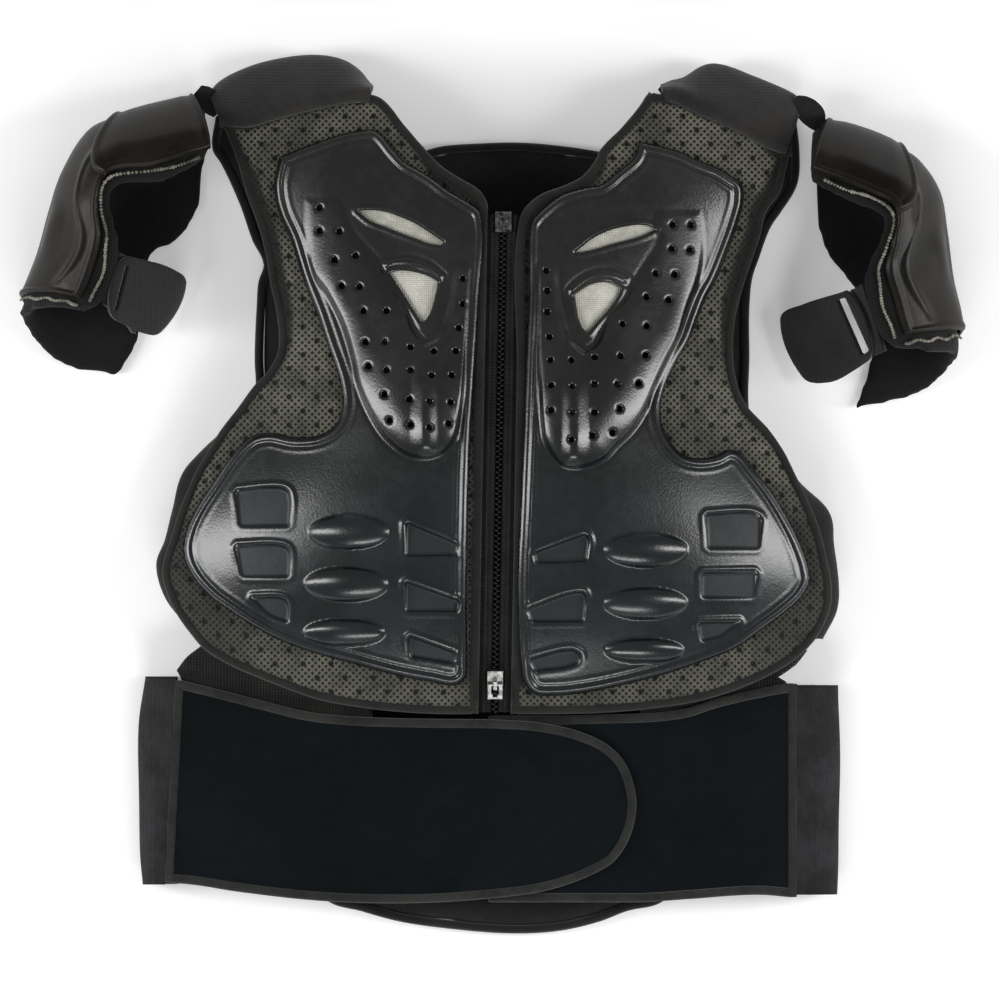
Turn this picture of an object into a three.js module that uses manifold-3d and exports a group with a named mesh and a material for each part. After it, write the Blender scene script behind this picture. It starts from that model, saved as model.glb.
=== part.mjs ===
import * as THREE from 'three';
import { mergeVertices } from 'three/addons/utils/BufferGeometryUtils.js';
import Module from 'manifold-3d';

// The vest lies on its back: X to the right, Y towards the neck, Z up from the surface. Millimetres.

// Driving sizes
const SPAN_X = 530;
const SPAN_Y = 530;
const CHEST_TOP = 76;
const ARM_TOP = 60;
const BACK_T = 8;
const PANEL_T = 5;
const PLATE_T = 2.5;
const BINDING_W = 5.6;
const CLOTH_T = 2.5;
const BAND_T = 4;
const SIDE_DROP = 2.4;
const SHOULDER_GAP = 1.4;
const SHELL_GAP = 2.1;
const TAB_T = 3;
const PAD_T = 6;
const SHELL_T = 2;
const FIT_GAP = 0.3;
const RIDGE_H = 6;
const RIDGE_WALL = 2.2;
const POCKET_DEPTH = 1.3;
const OVAL_H = 2.6;
const BROW_H = 1.2;
const HOLE_R = 1.5;
const INSERT_T = 0.8;
const BELT_MID_HIGH = 36;
const BELT_MID_LOW = 22;
const TRIM_W = 2.6;
const TRIM_EXTRA = 0.4;
const TAPE_T = 1.2;
const TEETH_T = 2.8;
const SLIDER_W = 8.4;
const SLIDER_L = 8.4;
const SLIDER_T = 2.8;
const PULL_T = 1.2;
const PULL_L = 8.6;
const PULL_W = 8;

// Every outline below is written in thousandths of the two spans, across from the left and down
// from the top; the middle of the layout is the origin.
const MID_ACROSS = 500;
const MID_DOWN = 495;
const SHARE = 1000;
const toX = (across) => SPAN_X * (across - MID_ACROSS) / SHARE;
const toY = (down) => SPAN_Y * (MID_DOWN - down) / SHARE;
const place = ([across, down]) => [toX(across), toY(down)];

// Pitch of the lattice that the curved sheets share
const PITCH = 40;

// Front surface, one row per level: down, half width, height at the middle, height at the edge;
// heights are shares of the chest's top.
const FRONT = [
  { down: 40, half: 300, middle: 0.42, edge: 0.38 },
  { down: 100, half: 290, middle: 0.56, edge: 0.43 },
  { down: 150, half: 272, middle: 0.66, edge: 0.46 },
  { down: 200, half: 255, middle: 0.75, edge: 0.46 },
  { down: 300, half: 232, middle: 0.88, edge: 0.44 },
  { down: 400, half: 262, middle: 0.965, edge: 0.42 },
  { down: 500, half: 322, middle: 1, edge: 0.4 },
  { down: 570, half: 338, middle: 0.965, edge: 0.39 },
  { down: 630, half: 325, middle: 0.87, edge: 0.39 },
  { down: 690, half: 300, middle: 0.71, edge: 0.4 },
  { down: 740, half: 290, middle: 0.6, edge: 0.4 },
];
const FRONT_POWER = 2.2;

// Padded front panels under the plates, with their bound edge
const PANEL_L = [
  [222, 120.5], [249, 122.5], [282, 112.5], [315, 104.5], [354, 97.5], [372, 97], [382, 101],
  [405, 128], [425, 151], [440, 167], [459, 180], [481, 194], [487, 206], [487, 215],
  [484.2, 370], [481, 545], [478, 712], [440, 712], [400, 710], [350, 704], [320, 698],
  [285, 686], [262, 677], [232, 664], [206, 648], [192, 632], [178, 612], [168, 590], [164, 572],
  [167, 556], [174, 535], [181, 512], [190, 490], [199, 470], [208, 455], [223, 431], [240, 409],
  [256, 387], [270, 372], [280, 352], [279, 316], [272, 282], [268, 257], [261.5, 231],
  [249, 196], [237, 156],
];
const PANEL_R = [
  [789, 149], [785, 166], [778, 193], [765, 211], [758, 237],
  [747, 269], [740, 291], [733, 320], [731, 354], [734, 380], [743, 404], [767, 431], [782, 453],
  [794, 477], [804, 497], [812, 515], [819, 535], [824, 556], [829, 580], [829, 604], [822, 624],
  [812, 640], [795, 657], [775, 670], [755, 680], [730, 690], [700, 699], [650, 707], [600, 711],
  [560, 712], [511, 712], [514, 545], [517.2, 370], [520, 221], [525, 210], [540, 197], [563, 188],
  [581, 179], [596, 161], [600, 152], [621, 130], [640, 107], [648, 94], [657, 96],
  [680, 100.5], [702, 111], [724, 120], [747, 129], [767, 140.5], [777, 149],
];

// Moulded chest plates
const PLATE_L = [
  [280, 158], [307, 147.5], [340, 136], [360, 132], [374, 131.5], [381, 136], [395, 153],
  [406, 164], [420, 172], [434, 181], [447, 191], [467, 203], [479, 212], [483, 225], [479, 300],
  [474, 380], [470, 450], [468, 520], [467, 600], [467, 660], [466, 676], [457, 684],
  [430, 681], [394, 674], [357, 664], [320, 654], [286, 642], [257, 627.5], [230, 610],
  [211, 596], [194, 577], [186, 561], [184, 546], [189, 525], [199, 505], [213, 484],
  [230, 459], [252, 437], [269, 433], [296, 437.5], [320, 435], [336, 425], [343, 406],
  [341, 384], [336, 367], [328, 345], [317, 313], [306, 286], [298, 262], [291, 240],
  [281, 218], [276, 200], [275, 182],
];
const PLATE_R = [
  [639, 143], [661.5, 147.7], [680, 153], [697, 161], [720, 170], [731, 177], [741, 184.7],
  [743, 200], [737, 225], [727, 253], [715, 282], [706, 298], [697, 320], [689, 340], [675, 364],
  [665, 386], [660, 406], [661.5, 425], [670, 442], [682, 454.5], [699, 458.5], [716, 456],
  [729, 450], [738, 452], [753, 469], [772, 493.5], [787, 518], [799, 542], [807.5, 566.6],
  [809, 581], [801.6, 596], [784.5, 612], [760, 630], [736, 647], [699, 662], [663, 674],
  [626, 683.5], [590, 691], [553, 695], [534, 693], [524, 681], [520, 657], [517, 583],
  [520, 510], [523, 437], [526, 360], [529, 290], [529, 242], [531, 224], [542.6, 210.5],
  [560.6, 197], [585, 189], [601, 186], [619, 172], [634.6, 158],
];

// V-shaped air ridge of each plate: a wide leg from the shoulder and a narrow one by the zip
const RIDGE_L = [
  [306, 200], [308, 240], [313, 274], [327, 296], [341.5, 325], [352, 360], [357, 384], [369, 413],
  [381, 433], [390, 443], [406, 455], [425, 459.5], [442, 455], [455, 442], [460, 423],
  [465, 398], [468, 350], [471, 300], [471, 268], [463, 262], [456, 272], [451, 300], [444, 326],
  [435, 340], [426, 344], [417, 335], [407, 312], [395, 290], [378.5, 263], [364, 247],
  [352, 232], [346, 214], [340, 200],
];
const RIDGE_R = [
  [700, 212], [703, 245], [700, 275], [688.5, 309], [679.5, 338], [668, 362], [655, 389],
  [643, 415.5], [631, 432.6], [616, 447], [607, 457], [592, 465.5], [577, 469], [563, 467],
  [552, 457], [543, 440], [540, 420], [538.5, 390], [537, 350], [537, 300], [538, 266], [546, 258],
  [555, 266], [558, 290], [563, 318], [572, 342], [584, 352], [594, 346], [602, 331], [611, 316],
  [624, 300], [637, 278], [650, 258], [659, 240], [654, 222], [656, 212],
];

// Round perforations through the ridges
const HOLES_L = [
  [320, 209], [320, 232], [340, 233], [335, 261], [356, 257], [342, 287], [360, 288],
  [364, 312], [387, 312], [366, 343], [385, 343], [411, 348], [434, 352], [456, 352],
  [459, 329], [463, 305], [463, 280], [369, 367], [387, 371], [411, 371], [432, 376],
  [452, 376], [385, 395], [410, 400], [430, 402], [451, 403], [390, 421], [411, 425],
  [430, 428], [449, 424],
];
const HOLES_R = [
  [690, 226], [672, 226], [689, 251], [671, 250], [655, 274.5], [674, 275.6], [646, 298],
  [668, 301], [622, 325], [646, 327], [546, 272], [547, 292], [547, 313], [549, 338],
  [550, 361], [620, 357], [645, 356], [571, 361], [594, 358], [638, 384], [617, 385],
  [572, 387], [594, 385], [550.6, 386], [572, 413], [594, 413], [619, 409.4], [550.6, 411],
  [571, 440], [592, 436], [612, 433],
];

// Vents cut through the plates, and the raised brow over each fan vent
const SLIT_L = [
  [358, 212], [372, 211.5], [385, 213], [401, 218.5], [415, 224.6], [430, 234], [444, 243.5],
  [441, 247], [431, 245], [417, 240], [401, 234], [385, 227.7], [370, 221.5],
];
const SLIT_R = [
  [574, 254], [596.5, 237.4], [621, 228.5], [650, 227.5], [655, 230.7], [639, 237.6],
  [612, 245], [585, 252.5],
];
const FAN_L = [
  [390, 273.8], [401, 271.8], [413, 272.8], [427.7, 277], [438, 283], [437, 290], [426, 321],
  [422, 323.5], [405, 296.4],
];
const FAN_R = [
  [574, 296], [590, 286], [608, 283.4], [620, 289], [619, 293.5], [588, 332.8], [584, 331],
];
const BROW_L = [
  [384, 265], [393, 261], [404, 259.5], [417, 261], [432, 267.5], [443, 277], [441, 281],
  [431, 274], [417, 267.5], [404, 265.5], [393, 266.5], [386, 270],
];
const BROW_R = [
  [569, 291], [576, 283.5], [587, 276.5], [602, 272.5], [616, 274], [627, 279.5], [625, 284],
  [615, 280], [602, 278.5], [589, 282], [578, 289], [571, 295],
];

// Ribs of the lower plates: sunk windows, raised ovals [across, down, half width, half height]
const WINDOWS_L = [
  [[236, 490], [284, 487], [291, 492], [291, 527], [240, 527]],
  [[236, 545], [286, 545], [291, 550], [291, 577], [242, 577]],
  [[251, 597], [284, 597], [290, 602], [290, 623], [270, 616]],
  [[406, 521], [459, 543], [457, 556], [406, 557]],
  [[405, 580], [462, 600], [459, 612], [406, 612]],
  [[408, 634], [458, 652], [456, 664], [410, 657]],
];
const WINDOWS_R = [
  [[704, 514], [750, 512], [761, 517], [759, 549], [706, 549]],
  [[700, 572], [756, 571], [754, 598], [700, 598]],
  [[696, 622], [741, 621], [722, 636], [700, 642]],
  [[533, 552], [585, 533], [589, 538], [587, 562], [535, 564]],
  [[526, 607], [582, 590], [586, 594], [584, 622], [530, 622]],
  [[528, 658], [572, 648], [582, 654], [578, 664], [534, 672]],
];
const OVALS_L = [
  { across: 350, down: 532, half: 40, rise: 14 },
  { across: 347, down: 584, half: 42, rise: 14 },
  { across: 345, down: 632, half: 41, rise: 11 },
];
const OVALS_R = [
  { across: 645, down: 550, half: 42, rise: 14 },
  { across: 645, down: 603, half: 42, rise: 13 },
  { across: 644, down: 650, half: 40, rise: 10 },
];
const OVAL_SIDES = 12;
const INSERT_L = [[350, 205], [378, 204], [412, 214], [452, 240], [448, 290], [428, 334], [418, 334]];
const INSERT_R = [[566, 250], [588, 234], [618, 222], [662, 222], [664, 234], [628, 296], [592, 341],
  [580, 341], [567, 298]];

// Padded back panel with its collar and lower tail
const BACK = [
  [216, 117], [245, 98], [276, 88], [312, 82], [344, 84], [371, 102], [400, 133], [425, 151],
  [440, 147], [477, 144], [520, 143], [567, 147], [600, 152], [622, 132], [646, 108], [662, 100],
  [682, 97], [710, 92], [745, 97], [775, 108], [796, 122], [799, 150], [797, 184], [780, 213],
  [771, 226], [758, 260], [752, 278], [749, 309], [749, 359], [748, 400], [751, 430], [765, 470],
  [785, 520], [799, 560], [803, 600], [788, 640], [755, 668], [699, 680], [697, 720], [690, 850],
  [664, 900], [626, 911], [600, 921], [562, 930], [516, 933], [447, 928], [399, 921], [362, 911],
  [326, 899], [306, 850], [299, 720], [297, 682], [262, 672], [225, 655], [204, 630], [191, 585],
  [197, 545], [213, 504], [233, 462], [250, 420], [256, 386], [255, 360], [257, 307], [259, 281],
  [264, 265], [253, 241], [240, 204], [221, 163], [213, 150],
];
const BACK_BEVEL = 1.6;

// Shoulder bands: each row runs from the front panel over the fold to the back panel
const BAND_L = [
  [[219, 116.5], [213, 104], [210.5, 96], [213, 104], [215, 112]],
  [[247, 118], [240, 97], [235, 80], [239, 87], [243, 94]],
  [[280.5, 109], [275, 84], [271, 67], [273, 75], [275, 84]],
  [[314.5, 101], [312, 79], [311, 62], [311, 69], [311.5, 78]],
  [[346, 95], [345.5, 80], [345, 68], [345, 73], [344.5, 80]],
  [[371, 92.5], [371, 90.5], [371, 89], [371, 92], [370, 97]],
];
const BAND_R = [
  [[662, 92.5], [661, 90.5], [661, 88.5], [661, 91.5], [662, 95]],
  [[681, 96.5], [683, 90], [684, 84], [683, 88], [682, 93]],
  [[704, 107.5], [708, 88], [712, 70.5], [711, 78], [710, 88]],
  [[738, 121.5], [745, 99], [750, 82], [748, 87], [745, 93]],
  [[768, 138], [777, 112], [783, 95.5], [780, 100], [776, 104]],
  [[787.5, 144.5], [795, 124], [800.5, 107], [798, 111], [794.5, 117]],
];

// Side panels under the arms: down, start under the front, widest point, end on the back
const SIDE_L = [
  { down: 402, start: 264, wide: 250.5, end: 268 },
  { down: 430, start: 244, wide: 228, end: 258 },
  { down: 470, start: 216, wide: 188, end: 241 },
  { down: 510, start: 198, wide: 175.5, end: 222 },
  { down: 540, start: 188, wide: 168, end: 211 },
  { down: 566, start: 180, wide: 159.8, end: 203 },
  { down: 600, start: 186, wide: 170, end: 205 },
  { down: 632, start: 208, wide: 196, end: 219 },
];
const SIDE_R = [
  { down: 408, start: 732, wide: 743, end: 738 },
  { down: 437, start: 752, wide: 767.5, end: 742 },
  { down: 475, start: 776, wide: 790, end: 757 },
  { down: 512, start: 794, wide: 825, end: 772 },
  { down: 545, start: 804, wide: 830.5, end: 784 },
  { down: 582, start: 812, wide: 835.8, end: 792 },
  { down: 610, start: 810, wide: 834, end: 792 },
  { down: 638, start: 797, wide: 820, end: 779 },
];

// Gussets between the front panels and the belt
const GUSSET_L = [
  [201, 646], [222, 652], [240, 661], [290, 680], [340, 696], [372, 704], [372, 728], [310, 724],
  [262, 712], [215, 700], [183, 690], [182, 680], [177, 670], [187, 657],
];
const GUSSET_R = [
  [807, 650], [788, 656], [765, 668], [725, 684], [680, 696], [640, 703], [640, 725], [680, 721],
  [718, 710], [770, 697], [790, 694], [786, 682], [778, 677], [796, 664],
];

// Waist belt: the left flap lies over the right one
const FLAP_L = [
  [177.5, 681], [215, 690], [262, 702], [310, 713.5], [357, 718], [428, 720], [500, 721],
  [547, 725], [585, 735], [608, 747], [623, 763], [632, 787], [634, 806], [628, 834], [613, 858],
  [594, 870], [547, 887], [480, 896], [405, 900], [324, 898], [239, 889], [193, 882], [167, 880],
];
const FLAP_R = [
  [794.5, 684], [770, 688], [718, 699.5], [680, 711], [594, 716], [490, 717], [490, 899],
  [594, 899], [642, 899], [689, 896], [760, 892], [794.5, 895],
];
const BELT_BACK = [
  { across: 176, top: 690, low: 880 }, { across: 270, top: 698, low: 886 },
  { across: 400, top: 700, low: 892 }, { across: 497, top: 700, low: 893 },
  { across: 594, top: 700, low: 892 }, { across: 724, top: 697, low: 888 },
  { across: 793, top: 690, low: 888 },
];
const BELT_RISE = { near: 224, far: 272, aside: -3 };
const LAP = { from: 350, to: 430 };
const ELASTIC_L = [
  { down: 676.5, inner: 176.3, wide: 148, under: 177.8 },
  { down: 720, inner: 174, wide: 141.6, under: 177.8 },
  { down: 780, inner: 171, wide: 141.2, under: 177.8 },
  { down: 840, inner: 167.8, wide: 142.2, under: 177.8 },
  { down: 884, inner: 165.6, wide: 145.5, under: 177.8 },
];
const ELASTIC_R = [
  { down: 685, inner: 795.6, wide: 835.5, under: 791.7 },
  { down: 730, inner: 795.6, wide: 837, under: 791.7 },
  { down: 785, inner: 795.6, wide: 837.2, under: 791.7 },
  { down: 840, inner: 795.6, wide: 836, under: 791.7 },
  { down: 894, inner: 795.6, wide: 834.6, under: 791.7 },
];

// Zip: midway between the facing edges of the front panels, and how far each part reaches from it
const ZIP = { top: 216, bottom: 711 };
const midway = (one, other) => (one[0] + other[0]) / 2;
const ZIP_ACROSS = {
  top: midway(PANEL_L[13], PANEL_R[33]), bottom: midway(PANEL_L[16], PANEL_R[30]),
};
const ZIP_TEETH = 3.2;
const ZIP_TAPE_IN = 3.9;
const ZIP_TAPE_OUT = 15.8;
const SLIDER_DOWN = 676;
const STOP_DOWN = 224;

// Arm guards: each row runs from the free top edge over the outer fold to the free lower edge;
// lift holds the heights of the first two points as shares of the arm's top.
const ARM_L = [
  { line: [[207, 163], [212, 136], [204, 108], [206, 148], [204, 200]], lift: [0.84, 0.74] },
  { line: [[184, 175], [184, 143], [178, 115], [183, 165], [192, 225]], lift: [0.96, 0.85] },
  { line: [[156, 185], [150, 151], [143, 124], [155, 180], [175, 244]], lift: [1, 0.88] },
  { line: [[117, 187], [109, 160], [99, 139], [126, 200], [156, 252]], lift: [1, 0.88] },
  { line: [[113, 212], [91, 194], [74, 176], [108, 226], [148, 268]], lift: [1, 0.87] },
  { line: [[122, 243], [86, 229], [61, 214], [99, 254], [146, 290]], lift: [0.97, 0.85] },
  { line: [[119, 272], [77, 262], [49, 257], [89, 287], [145, 315]], lift: [0.94, 0.82] },
  { line: [[110, 298], [66, 291], [34, 294], [75, 326], [137, 346]], lift: [0.9, 0.79] },
  { line: [[90, 315], [54, 311], [22, 320], [58, 364], [118, 378]], lift: [0.84, 0.74] },
];
const ARM_R = [
  { line: [[809, 184], [806, 158], [812, 131], [812, 162], [813, 194]], lift: [0.84, 0.74] },
  { line: [[838, 199], [846, 170], [850, 141], [834, 180], [815, 216]], lift: [0.96, 0.85] },
  { line: [[864, 209], [873, 181], [879, 152], [852, 197], [819, 240]], lift: [1, 0.88] },
  { line: [[883, 221], [900, 195], [908, 168], [872, 216], [830, 263]], lift: [1, 0.88] },
  { line: [[873, 252], [904, 223], [928, 196], [890, 242], [847, 282]], lift: [1, 0.87] },
  { line: [[861, 281], [904, 255], [935, 235], [900, 274], [860, 304]], lift: [0.97, 0.85] },
  { line: [[866, 308], [912, 290], [941, 280], [908, 314], [868, 340]], lift: [0.94, 0.82] },
  { line: [[875, 334], [920, 326], [951, 322], [912, 356], [866, 374]], lift: [0.9, 0.79] },
  { line: [[890, 351], [926, 354], [955, 359], [922, 394], [853, 412]], lift: [0.84, 0.74] },
];
const ARM_FOLD = 0.36;
// Hard shells on the arm guards: corners along and across each guard
const SHOULDER_SHELL = [[0.02, 0.12], [0.33, 0.1], [0.29, 0.64], [0.03, 0.6]];
const ARM_SHELL = [[0.36, 0.1], [0.9, 0.13], [0.92, 0.64], [0.32, 0.64]];

// Straps of the arm guards: [across, down, height share] at the corners of two rows
const STRAP_L = [
  [[118.5, 252, 0.885], [106, 306, 0.8]],
  [[128, 258, 0.72], [116, 313, 0.64]],
  [[137, 268, 0.5], [126, 323, 0.44]],
  [[143, 279, 0.3], [134, 334, 0.27]],
];
const STRAP_R = [
  [[862, 284, 0.88], [884, 352, 0.79]],
  [[856, 288, 0.8], [877, 355, 0.72]],
  [[851, 290, 0.72], [872, 357, 0.66]],
];
const STRAP_FLAP_L = [
  [[125.5, 258, 0.96], [111.5, 316, 0.875]],
  [[150, 262, 0.72], [134, 330, 0.62]],
  [[172, 268, 0.42], [147, 335, 0.36]],
  [[189, 280, 0.2], [160, 336, 0.18]],
];
const STRAP_FLAP_R = [
  [[848, 291, 0.8], [871, 358, 0.72]],
  [[833, 295, 0.7], [858, 368, 0.6]],
  [[806, 303, 0.4], [832, 383, 0.34]],
  [[778, 315, 0.2], [804, 382, 0.18]],
];
const SLOT_L = [[128, 266], [131, 266], [119, 312], [116, 312]];
const SLOT_R = [[836.5, 300], [842, 299], [866.5, 353], [861, 356]];
const TAB_L = [
  [193.3, 98.6], [202.5, 87.5], [208.9, 94], [212.4, 103.8], [206.4, 107], [204.6, 103.6],
  [201, 103.7], [199, 99.2],
];
const TAB_R = [
  [802.9, 102.5], [806.5, 101], [815, 103], [820.5, 110], [822, 121.5], [819, 128],
  [812, 127.5], [807, 118], [802.4, 109],
];

const wasm = await Module();
wasm.setup();

const COLOURS = {
  plate: { color: 0x2b2c2d, roughness: 0.38, metalness: 0 },
  mesh: { color: 0x4a4b49, roughness: 0.9, metalness: 0 },
  binding: { color: 0x2f3032, roughness: 0.8, metalness: 0 },
  cloth: { color: 0x2a2a2d, roughness: 0.85, metalness: 0 },
  band: { color: 0x4d4c4c, roughness: 0.75, metalness: 0 },
  plush: { color: 0x1d2427, roughness: 1, metalness: 0 },
  elastic: { color: 0x525658, roughness: 0.85, metalness: 0 },
  insert: { color: 0xe6e6e0, roughness: 0.7, metalness: 0 },
  silver: { color: 0xc9c9c7, roughness: 0.3, metalness: 1 },
  dark: { color: 0x1b1b1d, roughness: 0.5, metalness: 0 },
};

const solidOf = (geometry) => {
  geometry.deleteAttribute('normal');
  geometry.deleteAttribute('uv');
  const merged = mergeVertices(geometry, 1e-4);
  return new wasm.Manifold(new wasm.Mesh({
    numProp: 3,
    vertProperties: new Float32Array(merged.attributes.position.array),
    triVerts: new Uint32Array(merged.index.array),
  }));
};

const geometryOf = (solid) => {
  const mesh = solid.getMesh();
  const geometry = new THREE.BufferGeometry();
  geometry.setAttribute('position', new THREE.BufferAttribute(new Float32Array(mesh.vertProperties), 3));
  geometry.setIndex(new THREE.BufferAttribute(new Uint32Array(mesh.triVerts), 1));
  geometry.computeVertexNormals();
  return geometry;
};

// Smooth value of a table's column at a level, through every row
const column = (rows, key, level) => {
  const last = rows.length - 1;
  const found = rows.findIndex((row) => row.down > level);
  const i = Math.min(Math.max(found < 0 ? last - 1 : found - 1, 0), last - 1);
  const slope = (k) => {
    const a = rows[Math.max(k - 1, 0)];
    const b = rows[Math.min(k + 1, last)];
    return (b[key] - a[key]) / (b.down - a.down);
  };
  const width = rows[i + 1].down - rows[i].down;
  const t = Math.min(Math.max((level - rows[i].down) / width, 0), 1);
  const h = t * t * (3 - 2 * t);
  return rows[i][key] * (1 - h) + rows[i + 1][key] * h
    + width * (slope(i) * t * (1 - t) ** 2 - slope(i + 1) * t * t * (1 - t));
};

// Smooth dome of the chest, and the height of the plates' outer face over a point of the lattice
const dome = (x, y) => {
  const down = MID_DOWN - y * SHARE / SPAN_Y;
  const across = Math.abs(x * SHARE / SPAN_X) / column(FRONT, 'half', down);
  const middle = column(FRONT, 'middle', down);
  const edge = column(FRONT, 'edge', down);
  return CHEST_TOP * (edge + (middle - edge) * (1 - across ** FRONT_POWER));
};
const front = (x, y) => {
  const [i, j] = [Math.floor(x / PITCH), Math.floor(y / PITCH)];
  const [u, v] = [x / PITCH - i, y / PITCH - j];
  const corner = (k, l) => dome((i + k) * PITCH, (j + l) * PITCH);
  const turn = u > v ? corner(1, 0) : corner(0, 1);
  const [far, near] = u > v ? [u, v] : [v, u];
  return corner(0, 0) + far * (turn - corner(0, 0)) + near * (corner(1, 1) - turn);
};
const PANEL_TOP = -PLATE_T - FIT_GAP;
const PANEL_LOW = PANEL_TOP - PANEL_T;
const above = (rise) => (x, y) => front(x, y) + rise;

const lapStep = CLOTH_T + 2 * TRIM_EXTRA + FIT_GAP;
const ease = (low, high, value) => THREE.MathUtils.smoothstep(value, low, high);
const beltMid = (x) => {
  const reach = toX(FLAP_R[0][0]);
  return BELT_MID_LOW + (BELT_MID_HIGH - BELT_MID_LOW) * (1 - (x / reach) ** 2);
};
const flapMid = (x) => beltMid(x) + lapStep * ease(toX(LAP.from), toX(LAP.to), x);
const backMid = (x) => {
  const over = 1 - ease(toX(BELT_RISE.near + MID_ACROSS), toX(BELT_RISE.far + MID_ACROSS),
    Math.abs(x - toX(MID_ACROSS + BELT_RISE.aside)));
  return CLOTH_T / 2 + FIT_GAP + over * BACK_T;
};

const shapeOf = (points) => new THREE.Shape(points.map(([x, y]) => new THREE.Vector2(x, y)));

const prism = (points) => {
  const geometry = new THREE.ExtrudeGeometry(shapeOf(points), { depth: 2 * CHEST_TOP, bevelEnabled: false });
  geometry.translate(0, 0, -CHEST_TOP / 2);
  return solidOf(geometry);
};

// Points moved inwards by a distance, with mitred corners
const inset = (points, distance) => {
  const area = THREE.ShapeUtils.area(points.map(([x, y]) => new THREE.Vector2(x, y)));
  const turn = Math.sign(area);
  const normal = (a, b) => {
    const length = Math.hypot(b[0] - a[0], b[1] - a[1]);
    return [-turn * (b[1] - a[1]) / length, turn * (b[0] - a[0]) / length];
  };
  return points.map((point, i) => {
    const before = normal(points.at(i - 1), point);
    const after = normal(point, points[(i + 1) % points.length]);
    const scale = distance / Math.max(1 + before[0] * after[0] + before[1] * after[1], 0.6);
    return [point[0] + (before[0] + after[0]) * scale, point[1] + (before[1] + after[1]) * scale];
  });
};

// Curved sheet between two height fields over the bounds of some points. All sheets share one
// lattice, and both faces of a sheet are split along the same diagonals, so that stacked sheets
// stay apart by the same gap everywhere.
const slab = (points, low, high, pitch = PITCH) => {
  const snap = (value, way) => way(value / pitch) * pitch;
  const bounds = new THREE.Box2().setFromPoints(points.map(([x, y]) => new THREE.Vector2(x, y)));
  bounds.expandByScalar(FIT_GAP);
  bounds.min.set(snap(bounds.min.x, Math.floor), snap(bounds.min.y, Math.floor));
  bounds.max.set(snap(bounds.max.x, Math.ceil), snap(bounds.max.y, Math.ceil));
  const size = bounds.getSize(new THREE.Vector2());
  const centre = bounds.getCenter(new THREE.Vector2());
  const cells = [size.x, size.y].map((length) => Math.round(length / pitch));
  const geometry = new THREE.BoxGeometry(size.x, size.y, 1, ...cells, 1);
  const position = geometry.attributes.position;
  for (let i = 0; i < position.count; i += 1) {
    const x = position.getX(i) + centre.x;
    const y = position.getY(i) + centre.y;
    const z = position.getZ(i) > 0 ? high(x, y) : low(x, y);
    position.setXYZ(i, x, y, z);
  }
  const under = geometry.groups.at(-1);
  const corners = geometry.index.array;
  for (let i = under.start; i < under.start + under.count; i += 6) {
    const [a, b, d, , c] = corners.slice(i, i + 6);
    corners.set([a, b, c, a, c, d], i);
  }
  return solidOf(geometry);
};

const sheet = (points, low, high, pitch) => slab(points, low, high, pitch).intersect(prism(points));

// Solid around a net of points: rows along, points across, offset from the net's middle surface
const netPoint = (net, along, across) => {
  const line = net.map((row) => new THREE.CatmullRomCurve3(row, false, 'catmullrom', 0.5).getPoint(across));
  return new THREE.CatmullRomCurve3(line, false, 'catmullrom', 0.5).getPoint(along);
};

const netSolid = ({ net, thick, offset = 0, corners, cells, floor = -Infinity, flip = 1, lift }) => {
  const [alongCells, acrossCells] = cells;
  const geometry = new THREE.BoxGeometry(1, 1, 1, alongCells, acrossCells, 1);
  const position = geometry.attributes.position;
  const [a, b, c, d] = corners ?? [[0, 0], [1, 0], [1, 1], [0, 1]];
  const step = 0.004;
  const clear = (point) => {
    point.z = Math.max(lift ? lift(point.x) : point.z, floor);
    return point;
  };
  for (let i = 0; i < position.count; i += 1) {
    const s = position.getX(i) + 0.5;
    const t = position.getY(i) + 0.5;
    const mix = (k) => (a[k] * (1 - s) + b[k] * s) * (1 - t) + (d[k] * (1 - s) + c[k] * s) * t;
    const along = THREE.MathUtils.clamp(mix(0), step, 1 - step);
    const across = THREE.MathUtils.clamp(mix(1), step, 1 - step);
    const middle = clear(netPoint(net, along, across));
    const spot = (s, t) => clear(netPoint(net, along + s * step, across + t * step));
    const alongWay = spot(1, 0).sub(spot(-1, 0));
    const acrossWay = spot(0, 1).sub(spot(0, -1));
    const normal = alongWay.cross(acrossWay).normalize().multiplyScalar(flip);
    middle.addScaledVector(normal, offset + flip * position.getZ(i) * thick);
    position.setXYZ(i, middle.x, middle.y, middle.z);
  }
  return solidOf(geometry);
};

const group = new THREE.Group();
group.name = 'armour_vest';
const add = (name, solid, colour) => {
  const mesh = new THREE.Mesh(geometryOf(solid), new THREE.MeshStandardMaterial(COLOURS[colour]));
  mesh.name = name;
  group.add(mesh);
};

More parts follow.
